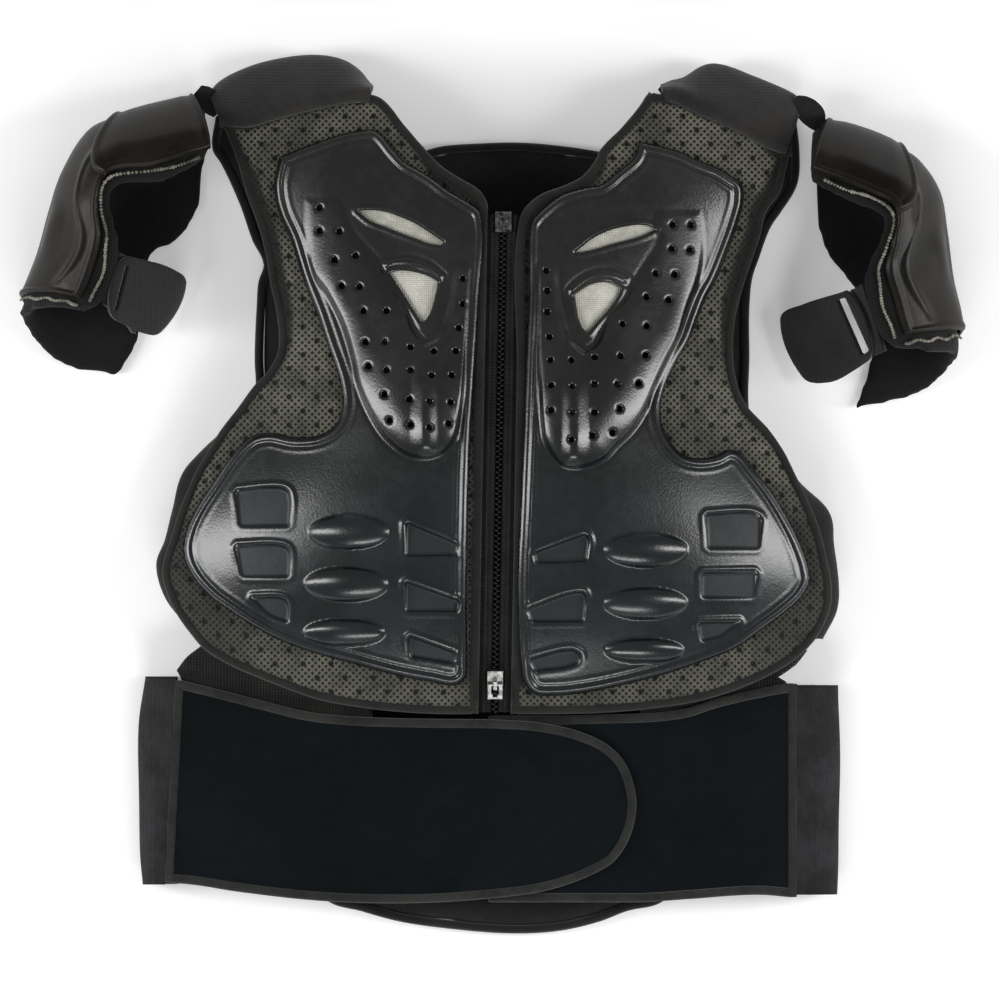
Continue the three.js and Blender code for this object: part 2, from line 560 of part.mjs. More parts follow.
// Chest plate: curved sheet, hollow ridge, vents, windows, ovals and brow
const chestPlate = ({ outline, ridge, holes, slit, fan, brow, windows, ovals }) => {
  const edge = outline.map(place);
  const crest = ridge.map(place);
  const bore = inset(crest, RIDGE_WALL);
  const raised = (points, rise) => sheet(points, above(-PLATE_T / 2), above(rise));
  let solid = sheet(edge, above(-PLATE_T), above(0));
  solid = solid.add(sheet(crest, above(-PLATE_T), above(RIDGE_H)));
  solid = solid.subtract(sheet(bore, above(-2 * PLATE_T), above(RIDGE_H - RIDGE_WALL)));
  holes.forEach((hole) => {
    const [x, y] = place(hole);
    const pin = new THREE.CylinderGeometry(HOLE_R, HOLE_R, 2 * CHEST_TOP, 6);
    pin.rotateX(Math.PI / 2);
    pin.translate(x, y, CHEST_TOP);
    solid = solid.subtract(solidOf(pin));
  });
  [slit, fan].forEach((vent) => {
    solid = solid.subtract(prism(vent.map(place)));
  });
  windows.forEach((window) => {
    solid = solid.subtract(sheet(window.map(place), above(-POCKET_DEPTH), above(RIDGE_H)));
  });
  ovals.forEach(({ across, down, half, rise }) => {
    const ring = [...Array(OVAL_SIDES).keys()].map((i) => {
      const turn = (2 * Math.PI * i) / OVAL_SIDES;
      return place([across + half * Math.cos(turn), down + rise * Math.sin(turn)]);
    });
    solid = solid.add(raised(ring, OVAL_H));
  });
  return solid.add(raised(brow.map(place), BROW_H));
};

// Front of one side: panel, its bound edge, the plate and the pale sheet behind the vents
const frontSide = (side, panel, insert, plate) => {
  const edge = panel.map(place);
  const inner = inset(edge, BINDING_W);
  const body = inset(edge, BINDING_W + FIT_GAP);
  const pocket = inset(insert.map(place), -FIT_GAP);
  let pad = sheet(body, above(PANEL_LOW), above(PANEL_TOP));
  pad = pad.subtract(sheet(pocket, above(PANEL_TOP - INSERT_T - FIT_GAP), above(PLATE_T)));
  add(`front_panel_${side}`, pad, 'mesh');
  const rim = sheet(edge, above(PANEL_LOW - FIT_GAP), above(PANEL_TOP)).subtract(prism(inner));
  add(`front_binding_${side}`, rim, 'binding');
  add(`chest_plate_${side}`, chestPlate(plate), 'plate');
  const pale = sheet(insert.map(place), above(PANEL_TOP - INSERT_T), above(PANEL_TOP));
  add(`vent_insert_${side}`, pale, 'insert');
};
frontSide('l', PANEL_L, INSERT_L, {
  outline: PLATE_L, ridge: RIDGE_L, holes: HOLES_L, slit: SLIT_L, fan: FAN_L, brow: BROW_L,
  windows: WINDOWS_L, ovals: OVALS_L,
});
frontSide('r', PANEL_R, INSERT_R, {
  outline: PLATE_R, ridge: RIDGE_R, holes: HOLES_R, slit: SLIT_R, fan: FAN_R, brow: BROW_R,
  windows: WINDOWS_R, ovals: OVALS_R,
});

// Back panel, flat on the surface
const back = new THREE.ExtrudeGeometry(shapeOf(inset(BACK.map(place), BACK_BEVEL)), {
  depth: BACK_T - 2 * BACK_BEVEL, bevelThickness: BACK_BEVEL, bevelSize: BACK_BEVEL, bevelSegments: 1,
});
back.translate(0, 0, BACK_BEVEL);
add('back_panel', solidOf(back), 'cloth');

// Shoulder bands
const bandNet = (rows) => rows.map((row) => {
  const points = row.map(place);
  const start = front(...points[0]) + PANEL_TOP - PANEL_T / 2;
  const shares = [1, 0.8, 0.42, 0.08, 0];
  return points.map(([x, y], i) => {
    const z = BACK_T / 2 + (start - BACK_T / 2) * shares[i];
    return new THREE.Vector3(x, y, z);
  });
});
const band = { thick: BAND_T, cells: [8, 7], floor: BAND_T / 2 };
add('shoulder_band_l', netSolid({ ...band, net: bandNet(BAND_L) }), 'band');
add('shoulder_band_r', netSolid({ ...band, net: bandNet(BAND_R) }), 'band');

// Side panels
const sideNet = (rows) => rows.map(({ down, start, wide, end }) => {
  const y = toY(down);
  const top = front(toX(start), y) + PANEL_LOW - SIDE_DROP - CLOTH_T / 2;
  const outer = front(toX((start + wide) / 2), y) + PANEL_LOW - SIDE_DROP - CLOTH_T / 2;
  const low = BACK_T + FIT_GAP + CLOTH_T / 2;
  return [
    new THREE.Vector3(toX(start), y, top - FIT_GAP),
    new THREE.Vector3(toX(0.45 * start + 0.55 * wide), y, outer - 2 * FIT_GAP),
    new THREE.Vector3(toX(wide), y, (outer + low) / 2),
    new THREE.Vector3(toX(0.55 * end + 0.45 * wide), y, low + FIT_GAP),
    new THREE.Vector3(toX(end), y, low),
  ];
});
const side = { thick: CLOTH_T, cells: [8, 6], floor: BACK_T + FIT_GAP + CLOTH_T / 2 };
add('side_panel_l', netSolid({ ...side, net: sideNet(SIDE_L) }), 'cloth');
add('side_panel_r', netSolid({ ...side, net: sideNet(SIDE_R) }), 'cloth');

// Gussets, under the edges of the front panels and of the belt
const gussetTop = (x, y) => Math.min(front(x, y) + PANEL_LOW - FIT_GAP, beltMid(x) - CLOTH_T / 2 - TRIM_EXTRA)
  - 2 * FIT_GAP;
const gussetLow = (x, y) => gussetTop(x, y) - CLOTH_T;
add('belt_gusset_l', sheet(GUSSET_L.map(place), gussetLow, gussetTop), 'cloth');
add('belt_gusset_r', sheet(GUSSET_R.map(place), gussetLow, gussetTop), 'cloth');

// Belt
const beltFlap = (name, outline, middle, open) => {
  const edge = outline.map(place);
  const core = inset(edge, TRIM_W);
  const reach = 3 * TRIM_W;
  const opened = (points) => points.map(([x, y]) => {
    const near = Math.abs(x - toX(open)) < reach;
    return [near ? x + Math.sign(x) * reach : x, y];
  });
  const top = (extra) => (x) => middle(x) + CLOTH_T / 2 + extra;
  const low = (extra) => (x) => middle(x) - CLOTH_T / 2 - extra;
  const trim = sheet(edge, low(TRIM_EXTRA), top(TRIM_EXTRA)).subtract(prism(opened(core)));
  const inner = prism(opened(inset(edge, TRIM_W + FIT_GAP)));
  add(`belt_flap_${name}`, sheet(edge, low(0), top(0)).intersect(inner), 'plush');
  add(`belt_trim_${name}`, trim, 'binding');
};
beltFlap('l', FLAP_L, flapMid, (FLAP_L[0][0] + FLAP_L.at(-1)[0]) / 2);
beltFlap('r', FLAP_R, beltMid, FLAP_R[0][0]);
const backNet = BELT_BACK.map(({ across, top, low }) => [low, (low + top) / 2, top].map((down) => (
  new THREE.Vector3(toX(across), toY(down), 0))));
add('belt_back', netSolid({ net: backNet, thick: CLOTH_T, cells: [24, 1], lift: backMid }), 'plush');

const elasticNet = (rows) => rows.map(({ down, inner, wide, under }) => {
  const y = toY(down);
  const high = beltMid(toX(inner));
  const low = CLOTH_T / 2 + FIT_GAP;
  return [
    new THREE.Vector3(toX(inner), y, high),
    new THREE.Vector3(toX(0.5 * (inner + wide)), y, high - FIT_GAP),
    new THREE.Vector3(toX(wide), y, (high + low) / 2),
    new THREE.Vector3(toX(0.5 * (under + wide)), y, low),
    new THREE.Vector3(toX(under), y, low),
  ];
});
const elastic = { thick: CLOTH_T, cells: [4, 7], floor: CLOTH_T / 2 + FIT_GAP };
add('belt_elastic_l', netSolid({ ...elastic, net: elasticNet(ELASTIC_L) }), 'elastic');
add('belt_elastic_r', netSolid({ ...elastic, net: elasticNet(ELASTIC_R) }), 'elastic');

// Zip between the panels
const zipStrip = (near, far) => [
  [ZIP_ACROSS.top + near, ZIP.top], [ZIP_ACROSS.top + far, ZIP.top],
  [ZIP_ACROSS.bottom + far, ZIP.bottom], [ZIP_ACROSS.bottom + near, ZIP.bottom],
].map(place);
const tapeMid = PANEL_TOP - PANEL_T / 2;
const zipSheet = (near, far, thick) => sheet(zipStrip(near, far), above(tapeMid - thick / 2),
  above(tapeMid + thick / 2));
add('zip_tape_l', zipSheet(-ZIP_TAPE_OUT, -ZIP_TAPE_IN, TAPE_T), 'binding');
add('zip_tape_r', zipSheet(ZIP_TAPE_IN, ZIP_TAPE_OUT, TAPE_T), 'binding');
add('zip_teeth', zipSheet(-ZIP_TEETH, ZIP_TEETH, TEETH_T), 'dark');

// Zip sliders, set to the slope of the teeth
const box = (w, l, h, x = 0, y = 0, z = 0) => {
  const geometry = new THREE.BoxGeometry(w, l, h);
  geometry.translate(x, y, z);
  return solidOf(geometry);
};
const seat = (down) => {
  const share = (down - ZIP.top) / (ZIP.bottom - ZIP.top);
  const x = toX(ZIP_ACROSS.top + (ZIP_ACROSS.bottom - ZIP_ACROSS.top) * share);
  const y = toY(down);
  const reach = SLIDER_L / 2;
  const rise = tapeMid + TEETH_T / 2 + 3 * FIT_GAP;
  const tilt = Math.atan2(front(x, y + reach) - front(x, y - reach), SLIDER_L);
  return { x, y, z: front(x, y) + rise, tilt };
};
const seated = (solid, { x, y, z, tilt }) => (
  solid.rotate([THREE.MathUtils.radToDeg(tilt), 0, 0]).translate([x, y, z]));
const bottomSeat = seat(SLIDER_DOWN);
const hingeY = -0.36 * SLIDER_L;
const hingeZ = SLIDER_T + 2 * FIT_GAP + PULL_T / 2;
const postY = 1.9;
const postW = 2.2;
const postT = 0.9;
const bridgeH = PULL_T + 4 * FIT_GAP + postT;
let slider = box(SLIDER_W, SLIDER_L, SLIDER_T, 0, 0, SLIDER_T / 2);
[-1, 1].forEach((way) => {
  const post = box(postW, postT, bridgeH, 0, hingeY + way * postY, SLIDER_T + bridgeH / 2 - FIT_GAP / 2);
  slider = slider.add(post);
});
slider = slider.add(box(postW, 2 * postY + postT, postT, 0, hingeY, SLIDER_T + bridgeH - postT / 2));
add('zip_slider', seated(slider, bottomSeat), 'silver');
const armW = 1.5;
const slotL = 2 * postY + postT;
let pull = box(PULL_W, PULL_L, PULL_T, 0, hingeY - PULL_L / 2 + PULL_T / 2, hingeZ);
const openW = PULL_W - 2 * armW - PULL_T;
pull = pull.subtract(box(openW, slotL, 2 * PULL_T, 0, hingeY - PULL_T / 2 - slotL / 2, hingeZ));
pull = pull.subtract(box(PULL_T * 2, PULL_T, 2 * PULL_T, 0, hingeY - PULL_L + 2.1 * PULL_T, hingeZ));
add('zip_pull', seated(pull, bottomSeat), 'silver');
const topSeat = seat(STOP_DOWN);
const stop = box(SLIDER_W, 1.3 * SLIDER_L, SLIDER_T, 0, 0, SLIDER_T / 2)
  .add(box(0.4 * SLIDER_W, 0.6 * SLIDER_L, 1.8 * SLIDER_T, 0, 0, 0.9 * SLIDER_T));
add('zip_top_slider', seated(stop, topSeat), 'dark');

// Arm guards
const armNet = (rows) => rows.map(({ line, lift }) => {
  const low = PAD_T / 2 + FIT_GAP;
  const heights = [lift[0] * ARM_TOP, lift[1] * ARM_TOP, ARM_FOLD * ARM_TOP, low, low];
  return line.map((point, i) => new THREE.Vector3(...place(point), heights[i]));
});
const strapNet = (rows) => rows.map((row) => row.map(([across, down, share]) => (
  new THREE.Vector3(toX(across), toY(down), share * ARM_TOP))));
const armSide = (name, rows, strap, flap, slot, flip) => {
  const net = armNet(rows);
  const floor = PAD_T / 2 + FIT_GAP;
  add(`arm_pad_${name}`, netSolid({ net, thick: PAD_T, cells: [12, 9], floor }), 'cloth');
  const shell = (corners, gap) => netSolid({
    net, thick: SHELL_T, offset: (PAD_T + SHELL_T) / 2 + gap, cells: [6, 6], floor, flip, corners,
  });
  add(`shoulder_shell_${name}`, shell(SHOULDER_SHELL, SHOULDER_GAP), 'plate');
  add(`arm_shell_${name}`, shell(ARM_SHELL, SHELL_GAP), 'plate');
  add(`arm_strap_${name}`, netSolid({ net: strapNet(strap), thick: CLOTH_T, cells: [4, 1] }), 'cloth');
  const lid = netSolid({ net: strapNet(flap), thick: CLOTH_T, cells: [4, 2] });
  add(`strap_flap_${name}`, lid.subtract(prism(slot.map(place))), 'cloth');
};
armSide('l', ARM_L, STRAP_L, STRAP_FLAP_L, SLOT_L, -1);
armSide('r', ARM_R, STRAP_R, STRAP_FLAP_R, SLOT_R, 1);

// Tabs between the shoulder bands and the arm guards
const tab = (points) => {
  const outline = shapeOf(points.map(place));
  const geometry = new THREE.ExtrudeGeometry(outline, { depth: TAB_T, bevelEnabled: false });
  geometry.translate(0, 0, ARM_FOLD * ARM_TOP - TAB_T);
  return solidOf(geometry);
};
add('shoulder_tab_l', tab(TAB_L), 'band');
add('shoulder_tab_r', tab(TAB_R), 'band');

export default group;
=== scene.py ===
"""Armour vest laid on its back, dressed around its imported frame.

Outlines are written in thousandths of the layout's span, across from the left and down from the
top, with the middle of the layout over the frame's origin. Heights and sizes are in metres.
"""

import logging
import math
from dataclasses import dataclass, field
from enum import Enum
from typing import Callable, Optional, Sequence

import bmesh
import bpy
import numpy as np
from mathutils import Matrix, Vector


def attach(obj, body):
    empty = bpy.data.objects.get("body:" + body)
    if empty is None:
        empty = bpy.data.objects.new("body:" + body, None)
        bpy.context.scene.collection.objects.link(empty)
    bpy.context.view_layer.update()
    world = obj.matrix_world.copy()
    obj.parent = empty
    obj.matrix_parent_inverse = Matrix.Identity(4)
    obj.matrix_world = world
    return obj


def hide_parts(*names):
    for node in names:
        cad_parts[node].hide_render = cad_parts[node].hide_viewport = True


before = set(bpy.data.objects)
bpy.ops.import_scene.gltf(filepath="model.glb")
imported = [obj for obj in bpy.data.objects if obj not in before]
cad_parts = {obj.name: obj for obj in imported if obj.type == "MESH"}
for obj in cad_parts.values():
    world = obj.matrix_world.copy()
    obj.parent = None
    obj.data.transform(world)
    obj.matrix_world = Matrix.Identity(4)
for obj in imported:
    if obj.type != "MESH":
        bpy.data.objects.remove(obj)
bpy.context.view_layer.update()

log = logging.getLogger("armour_vest")

Array = np.ndarray
Mesh = bmesh.types.BMesh
Piece = bpy.types.Object
Material = bpy.types.Material
Node = bpy.types.Node
Socket = bpy.types.NodeSocket
NodeTree = bpy.types.NodeTree
Look = dict[str, object]

# Layout
SPAN = 0.53
MID_ACROSS = 500.0
MID_DOWN = 495.0
UNIT = SPAN / 1000
MM = 0.001

# Driving sizes
CHEST_TOP = 0.076
ARM_TOP = 0.060
BACK_T = 0.008
PANEL_T = 0.005
PLATE_T = 0.0025
CLOTH_T = 0.0025
BAND_T = 0.004
PAD_T = 0.006
SHELL_T = 0.002
FIT_GAP = 0.0003
BINDING_W = 0.0056
TRIM_W = 0.0026
RIDGE_H = 0.006
KEEL_H = 0.0022
OVAL_H = 0.0050
OVAL_FULL = 1.25
WINDOW_DEEP = 0.0031
WINDOW_LIP = 0.0008
DIMPLE_DEEP = 0.0014
FLOOR_GAP = 0.0002

# Holes, in layout units, but for the dish round each, in millimetres
HOLE_R = 2.9
HOLE_RIM = 5.2
HOLE_DISH = 0.55
HOLE_PITCH = 14.0

# Belt, zip and folds
ARM_FOLD = 0.36
BELT_MID_HIGH = 0.036
BELT_MID_LOW = 0.022
LAP_FROM, LAP_TO = 350.0, 430.0
ZIP_TOP, ZIP_LOW = 216.0, 711.0
ZIP_TOP_ACROSS, ZIP_LOW_ACROSS = 503.5, 494.5
ZIP_MIDDLE = 498.0
BELT_END = 794.5

# Front surface, one row per level: down, half width, height at the middle, height at the edge
FRONT = [
    (40, 300, 0.42, 0.38), (100, 290, 0.56, 0.43), (150, 272, 0.66, 0.46), (200, 255, 0.75, 0.46),
    (300, 232, 0.88, 0.44), (400, 262, 0.965, 0.42), (500, 322, 1, 0.4), (570, 338, 0.965, 0.39),
    (630, 325, 0.87, 0.39), (690, 300, 0.71, 0.4), (740, 290, 0.6, 0.4),
]
FRONT_POWER = 2.2

# Outlines and rows, in layout units
PANEL_L = [
    [222, 120.5], [249, 122.5], [282, 112.5], [315, 104.5], [354, 97.5], [372, 97], [382, 101],
    [405, 128], [425, 151], [440, 167], [459, 180], [481, 194], [487, 206], [487, 215],
    [484.2, 370], [481, 545], [478, 712], [440, 712], [400, 710], [350, 704], [320, 698],
    [285, 686], [262, 677], [232, 664], [206, 648], [192, 632], [178, 612], [168, 590], [164, 572],
    [167, 556], [174, 535], [181, 512], [190, 490], [199, 470], [208, 455], [223, 431], [240, 409],
    [256, 387], [270, 372], [280, 352], [279, 316], [272, 282], [268, 257], [261.5, 231],
    [249, 196], [237, 156],
]
PANEL_R = [
    [789, 149], [785, 166], [778, 193], [765, 211], [758, 237],
    [747, 269], [740, 291], [733, 320], [731, 354], [734, 380], [743, 404], [767, 431], [782, 453],
    [794, 477], [804, 497], [812, 515], [819, 535], [824, 556], [829, 580], [829, 604], [822, 624],
    [812, 640], [795, 657], [775, 670], [755, 680], [730, 690], [700, 699], [650, 707], [600, 711],
    [560, 712], [511, 712], [514, 545], [517.2, 370], [520, 221], [525, 210], [540, 197], [563, 188],
    [581, 179], [596, 161], [600, 152], [621, 130], [640, 107], [648, 94], [657, 96],
    [680, 100.5], [702, 111], [724, 120], [747, 129], [767, 140.5], [777, 149],
]
PLATE_L = [
    [280, 158], [307, 147.5], [340, 136], [360, 132], [374, 131.5], [381, 136], [395, 153],
    [406, 164], [420, 172], [434, 181], [447, 191], [467, 203], [479, 212], [483, 225], [479, 300],
    [474, 380], [470, 450], [468, 520], [467, 600], [467, 660], [466, 676], [457, 684],
    [430, 681], [394, 674], [357, 664], [320, 654], [286, 642], [257, 627.5], [230, 610],
    [211, 596], [194, 577], [186, 561], [184, 546], [189, 525], [199, 505], [213, 484],
    [230, 459], [252, 437], [269, 433], [296, 437.5], [320, 435], [336, 425], [343, 406],
    [341, 384], [336, 367], [328, 345], [317, 313], [306, 286], [298, 262], [291, 240],
    [281, 218], [276, 200], [275, 182],
]
PLATE_R = [
    [639, 143], [661.5, 147.7], [680, 153], [697, 161], [720, 170], [731, 177], [741, 184.7],
    [743, 200], [737, 225], [727, 253], [715, 282], [706, 298], [697, 320], [689, 340], [675, 364],
    [665, 386], [660, 406], [661.5, 425], [670, 442], [682, 454.5], [699, 458.5], [716, 456],
    [729, 450], [738, 452], [753, 469], [772, 493.5], [787, 518], [799, 542], [807.5, 566.6],
    [809, 581], [801.6, 596], [784.5, 612], [760, 630], [736, 647], [699, 662], [663, 674],
    [626, 683.5], [590, 691], [553, 695], [534, 693], [524, 681], [520, 657], [517, 583],
    [520, 510], [523, 437], [526, 360], [529, 290], [529, 242], [531, 224], [542.6, 210.5],
    [560.6, 197], [585, 189], [601, 186], [619, 172], [634.6, 158],
]
RIDGE_L = [
    [306, 200], [308, 240], [313, 274], [327, 296], [341.5, 325], [352, 360], [357, 384], [369, 413],
    [381, 433], [390, 443], [406, 455], [425, 459.5], [442, 455], [455, 442], [460, 423],
    [465, 398], [468, 350], [471, 300], [471, 268], [463, 262], [456, 272], [451, 300], [444, 326],
    [435, 340], [426, 344], [417, 335], [407, 312], [395, 290], [378.5, 263], [364, 247],
    [352, 232], [346, 214], [340, 200],
]
RIDGE_R = [
    [700, 212], [703, 245], [700, 275], [688.5, 309], [679.5, 338], [668, 362], [655, 389],
    [643, 415.5], [631, 432.6], [616, 447], [607, 457], [592, 465.5], [577, 469], [563, 467],
    [552, 457], [543, 440], [540, 420], [538.5, 390], [537, 350], [537, 300], [538, 266], [546, 258],
    [555, 266], [558, 290], [563, 318], [572, 342], [584, 352], [594, 346], [602, 331], [611, 316],
    [624, 300], [637, 278], [650, 258], [659, 240], [654, 222], [656, 212],
]
HOLES_L = [
    [320, 209], [320, 232], [340, 233], [335, 261], [356, 257], [342, 287], [360, 288],
    [364, 312], [387, 312], [366, 343], [385, 343], [411, 348], [434, 352], [456, 352],
    [459, 329], [463, 305], [463, 280], [369, 367], [387, 371], [411, 371], [432, 376],
    [452, 376], [385, 395], [410, 400], [430, 402], [451, 403], [390, 421], [411, 425],
    [430, 428], [449, 424],
]
HOLES_R = [
    [690, 226], [672, 226], [689, 251], [671, 250], [655, 274.5], [674, 275.6], [646, 298],
    [668, 301], [622, 325], [646, 327], [546, 272], [547, 292], [547, 313], [549, 338],
    [550, 361], [620, 357], [645, 356], [571, 361], [594, 358], [638, 384], [617, 385],
    [572, 387], [594, 385], [550.6, 386], [572, 413], [594, 413], [619, 409.4], [550.6, 411],
    [571, 440], [592, 436], [612, 433],
]
SLIT_L = [
    [358, 212], [372, 211.5], [385, 213], [401, 218.5], [415, 224.6], [430, 234], [444, 243.5],
    [441, 247], [431, 245], [417, 240], [401, 234], [385, 227.7], [370, 221.5],
]
SLIT_R = [
    [574, 254], [596.5, 237.4], [621, 228.5], [650, 227.5], [655, 230.7], [639, 237.6],
    [612, 245], [585, 252.5],
]
FAN_L = [
    [390, 273.8], [401, 271.8], [413, 272.8], [427.7, 277], [438, 283], [437, 290], [426, 321],
    [422, 323.5], [405, 296.4],
]
FAN_R = [
    [574, 296], [590, 286], [608, 283.4], [620, 289], [619, 293.5], [588, 332.8], [584, 331],
]
BROW_L = [
    [384, 265], [393, 261], [404, 259.5], [417, 261], [432, 267.5], [443, 277], [441, 281],
    [431, 274], [417, 267.5], [404, 265.5], [393, 266.5], [386, 270],
]
BROW_R = [
    [569, 291], [576, 283.5], [587, 276.5], [602, 272.5], [616, 274], [627, 279.5], [625, 284],
    [615, 280], [602, 278.5], [589, 282], [578, 289], [571, 295],
]
WINDOWS_L = [
    [[236, 490], [284, 487], [291, 492], [291, 527], [240, 527]],
    [[236, 545], [286, 545], [291, 550], [291, 577], [242, 577]],
    [[251, 597], [284, 597], [290, 602], [290, 623], [270, 616]],
    [[406, 521], [459, 543], [457, 556], [406, 557]],
    [[405, 580], [462, 600], [459, 612], [406, 612]],
    [[408, 634], [458, 652], [456, 664], [410, 657]],
]
WINDOWS_R = [
    [[704, 514], [750, 512], [761, 517], [759, 549], [706, 549]],
    [[700, 572], [756, 571], [754, 598], [700, 598]],
    [[696, 622], [741, 621], [722, 636], [700, 642]],
    [[533, 552], [585, 533], [589, 538], [587, 562], [535, 564]],
    [[526, 607], [582, 590], [586, 594], [584, 622], [530, 622]],
    [[528, 658], [572, 648], [582, 654], [578, 664], [534, 672]],
]
OVALS_L = [
    (350, 532, 40, 14), (347, 584, 42, 14), (345, 632, 41, 11),
]
OVALS_R = [
    (645, 550, 42, 14), (645, 603, 42, 13), (644, 650, 40, 10),
]
INSERT_L = [[350, 205], [378, 204], [412, 214], [452, 240], [448, 290], [428, 334], [418, 334]]
INSERT_R = [[566, 250], [588, 234], [618, 222], [662, 222], [664, 234], [628, 296], [592, 341],
    [580, 341], [567, 298]]
BACK = [
    [216, 117], [245, 98], [276, 88], [312, 82], [344, 84], [371, 102], [400, 133], [425, 151],
    [440, 147], [477, 144], [520, 143], [567, 147], [600, 152], [622, 132], [646, 108], [662, 100],
    [682, 97], [710, 92], [745, 97], [775, 108], [796, 122], [799, 150], [797, 184], [780, 213],
    [771, 226], [758, 260], [752, 278], [749, 309], [749, 359], [748, 400], [751, 430], [765, 470],
    [785, 520], [799, 560], [803, 600], [788, 640], [755, 668], [699, 680], [697, 720], [690, 850],
    [664, 900], [626, 911], [600, 921], [562, 930], [516, 933], [447, 928], [399, 921], [362, 911],
    [326, 899], [306, 850], [299, 720], [297, 682], [262, 672], [225, 655], [204, 630], [191, 585],
    [197, 545], [213, 504], [233, 462], [250, 420], [256, 386], [255, 360], [257, 307], [259, 281],
    [264, 265], [253, 241], [240, 204], [221, 163], [213, 150],
]
BAND_L = [
    [[219, 116.5], [213, 104], [210.5, 96], [213, 104], [215, 112]],
    [[247, 118], [240, 97], [235, 80], [239, 87], [243, 94]],
    [[280.5, 109], [275, 84], [271, 67], [273, 75], [275, 84]],
    [[314.5, 101], [312, 79], [311, 62], [311, 69], [311.5, 78]],
    [[346, 95], [345.5, 80], [345, 68], [345, 73], [344.5, 80]],
    [[371, 92.5], [371, 90.5], [371, 89], [371, 92], [370, 97]],
]
BAND_R = [
    [[662, 92.5], [661, 90.5], [661, 88.5], [661, 91.5], [662, 95]],
    [[681, 96.5], [683, 90], [684, 84], [683, 88], [682, 93]],
    [[704, 107.5], [708, 88], [712, 70.5], [711, 78], [710, 88]],
    [[738, 121.5], [745, 99], [750, 82], [748, 87], [745, 93]],
    [[768, 138], [777, 112], [783, 95.5], [780, 100], [776, 104]],
    [[787.5, 144.5], [795, 124], [800.5, 107], [798, 111], [794.5, 117]],
]
SIDE_L = [
    (402, 264, 250.5, 268), (430, 244, 228, 258), (470, 216, 188, 241), (510, 198, 175.5, 222),
    (540, 188, 168, 211), (566, 180, 159.8, 203), (600, 186, 170, 205), (632, 208, 196, 219),
]
SIDE_R = [
    (408, 732, 743, 738), (437, 752, 767.5, 742), (475, 776, 790, 757), (512, 794, 825, 772),
    (545, 804, 830.5, 784), (582, 812, 835.8, 792), (610, 810, 834, 792), (638, 797, 820, 779),
]
GUSSET_L = [
    [201, 646], [222, 652], [240, 661], [290, 680], [340, 696], [372, 704], [372, 728], [310, 724],
    [262, 712], [215, 700], [183, 690], [182, 680], [177, 670], [187, 657],
]
GUSSET_R = [
    [807, 650], [788, 656], [765, 668], [725, 684], [680, 696], [640, 703], [640, 725], [680, 721],
    [718, 710], [770, 697], [790, 694], [786, 682], [778, 677], [796, 664],
]
FLAP_L = [
    [177.5, 681], [215, 690], [262, 702], [310, 713.5], [357, 718], [428, 720], [500, 721],
    [547, 725], [585, 735], [608, 747], [623, 763], [632, 787], [634, 806], [628, 834], [613, 858],
    [594, 870], [547, 887], [480, 896], [405, 900], [324, 898], [239, 889], [193, 882], [167, 880],
]
FLAP_R = [
    [794.5, 684], [770, 688], [718, 699.5], [680, 711], [594, 716], [490, 717], [490, 899],
    [594, 899], [642, 899], [689, 896], [760, 892], [794.5, 895],
]
BELT_BACK = [
    (176, 690, 880), (270, 698, 886), (400, 700, 892), (497, 700, 893),
    (594, 700, 892), (724, 697, 888), (793, 690, 888),
]
ELASTIC_L = [
    (676.5, 176.3, 148, 177.8), (720, 174, 141.6, 177.8), (780, 171, 141.2, 177.8),
    (840, 167.8, 142.2, 177.8), (884, 165.6, 145.5, 177.8),
]
ELASTIC_R = [
    (685, 795.6, 835.5, 791.7), (730, 795.6, 837, 791.7), (785, 795.6, 837.2, 791.7),
    (840, 795.6, 836, 791.7), (894, 795.6, 834.6, 791.7),
]
ARM_L = [
    ([[207, 163], [212, 136], [204, 108], [206, 148], [204, 200]], [0.84, 0.74]),
    ([[184, 175], [184, 143], [178, 115], [183, 165], [192, 225]], [0.96, 0.85]),
    ([[156, 185], [150, 151], [143, 124], [155, 180], [175, 244]], [1, 0.88]),
    ([[117, 187], [109, 160], [99, 139], [126, 200], [156, 252]], [1, 0.88]),
    ([[113, 212], [91, 194], [74, 176], [108, 226], [148, 268]], [1, 0.87]),
    ([[122, 243], [86, 229], [61, 214], [99, 254], [146, 290]], [0.97, 0.85]),
    ([[119, 272], [77, 262], [49, 257], [89, 287], [145, 315]], [0.94, 0.82]),
    ([[110, 298], [66, 291], [34, 294], [75, 326], [137, 346]], [0.9, 0.79]),
    ([[90, 315], [54, 311], [22, 320], [58, 364], [118, 378]], [0.84, 0.74]),
]
ARM_R = [
    ([[809, 184], [806, 158], [812, 131], [812, 162], [813, 194]], [0.84, 0.74]),
    ([[838, 199], [846, 170], [850, 141], [834, 180], [815, 216]], [0.96, 0.85]),
    ([[864, 209], [873, 181], [879, 152], [852, 197], [819, 240]], [1, 0.88]),
    ([[883, 221], [900, 195], [908, 168], [872, 216], [830, 263]], [1, 0.88]),
    ([[873, 252], [904, 223], [928, 196], [890, 242], [847, 282]], [1, 0.87]),
    ([[861, 281], [904, 255], [935, 235], [900, 274], [860, 304]], [0.97, 0.85]),
    ([[866, 308], [912, 290], [941, 280], [908, 314], [868, 340]], [0.94, 0.82]),
    ([[875, 334], [920, 326], [951, 322], [912, 356], [866, 374]], [0.9, 0.79]),
    ([[890, 351], [926, 354], [955, 359], [922, 394], [853, 412]], [0.84, 0.74]),
]
STRAP_L = [
    [[118.5, 252, 0.885], [106, 306, 0.8]], [[128, 258, 0.72], [116, 313, 0.64]],
    [[137, 268, 0.5], [126, 323, 0.44]], [[143, 279, 0.3], [134, 334, 0.27]],
]
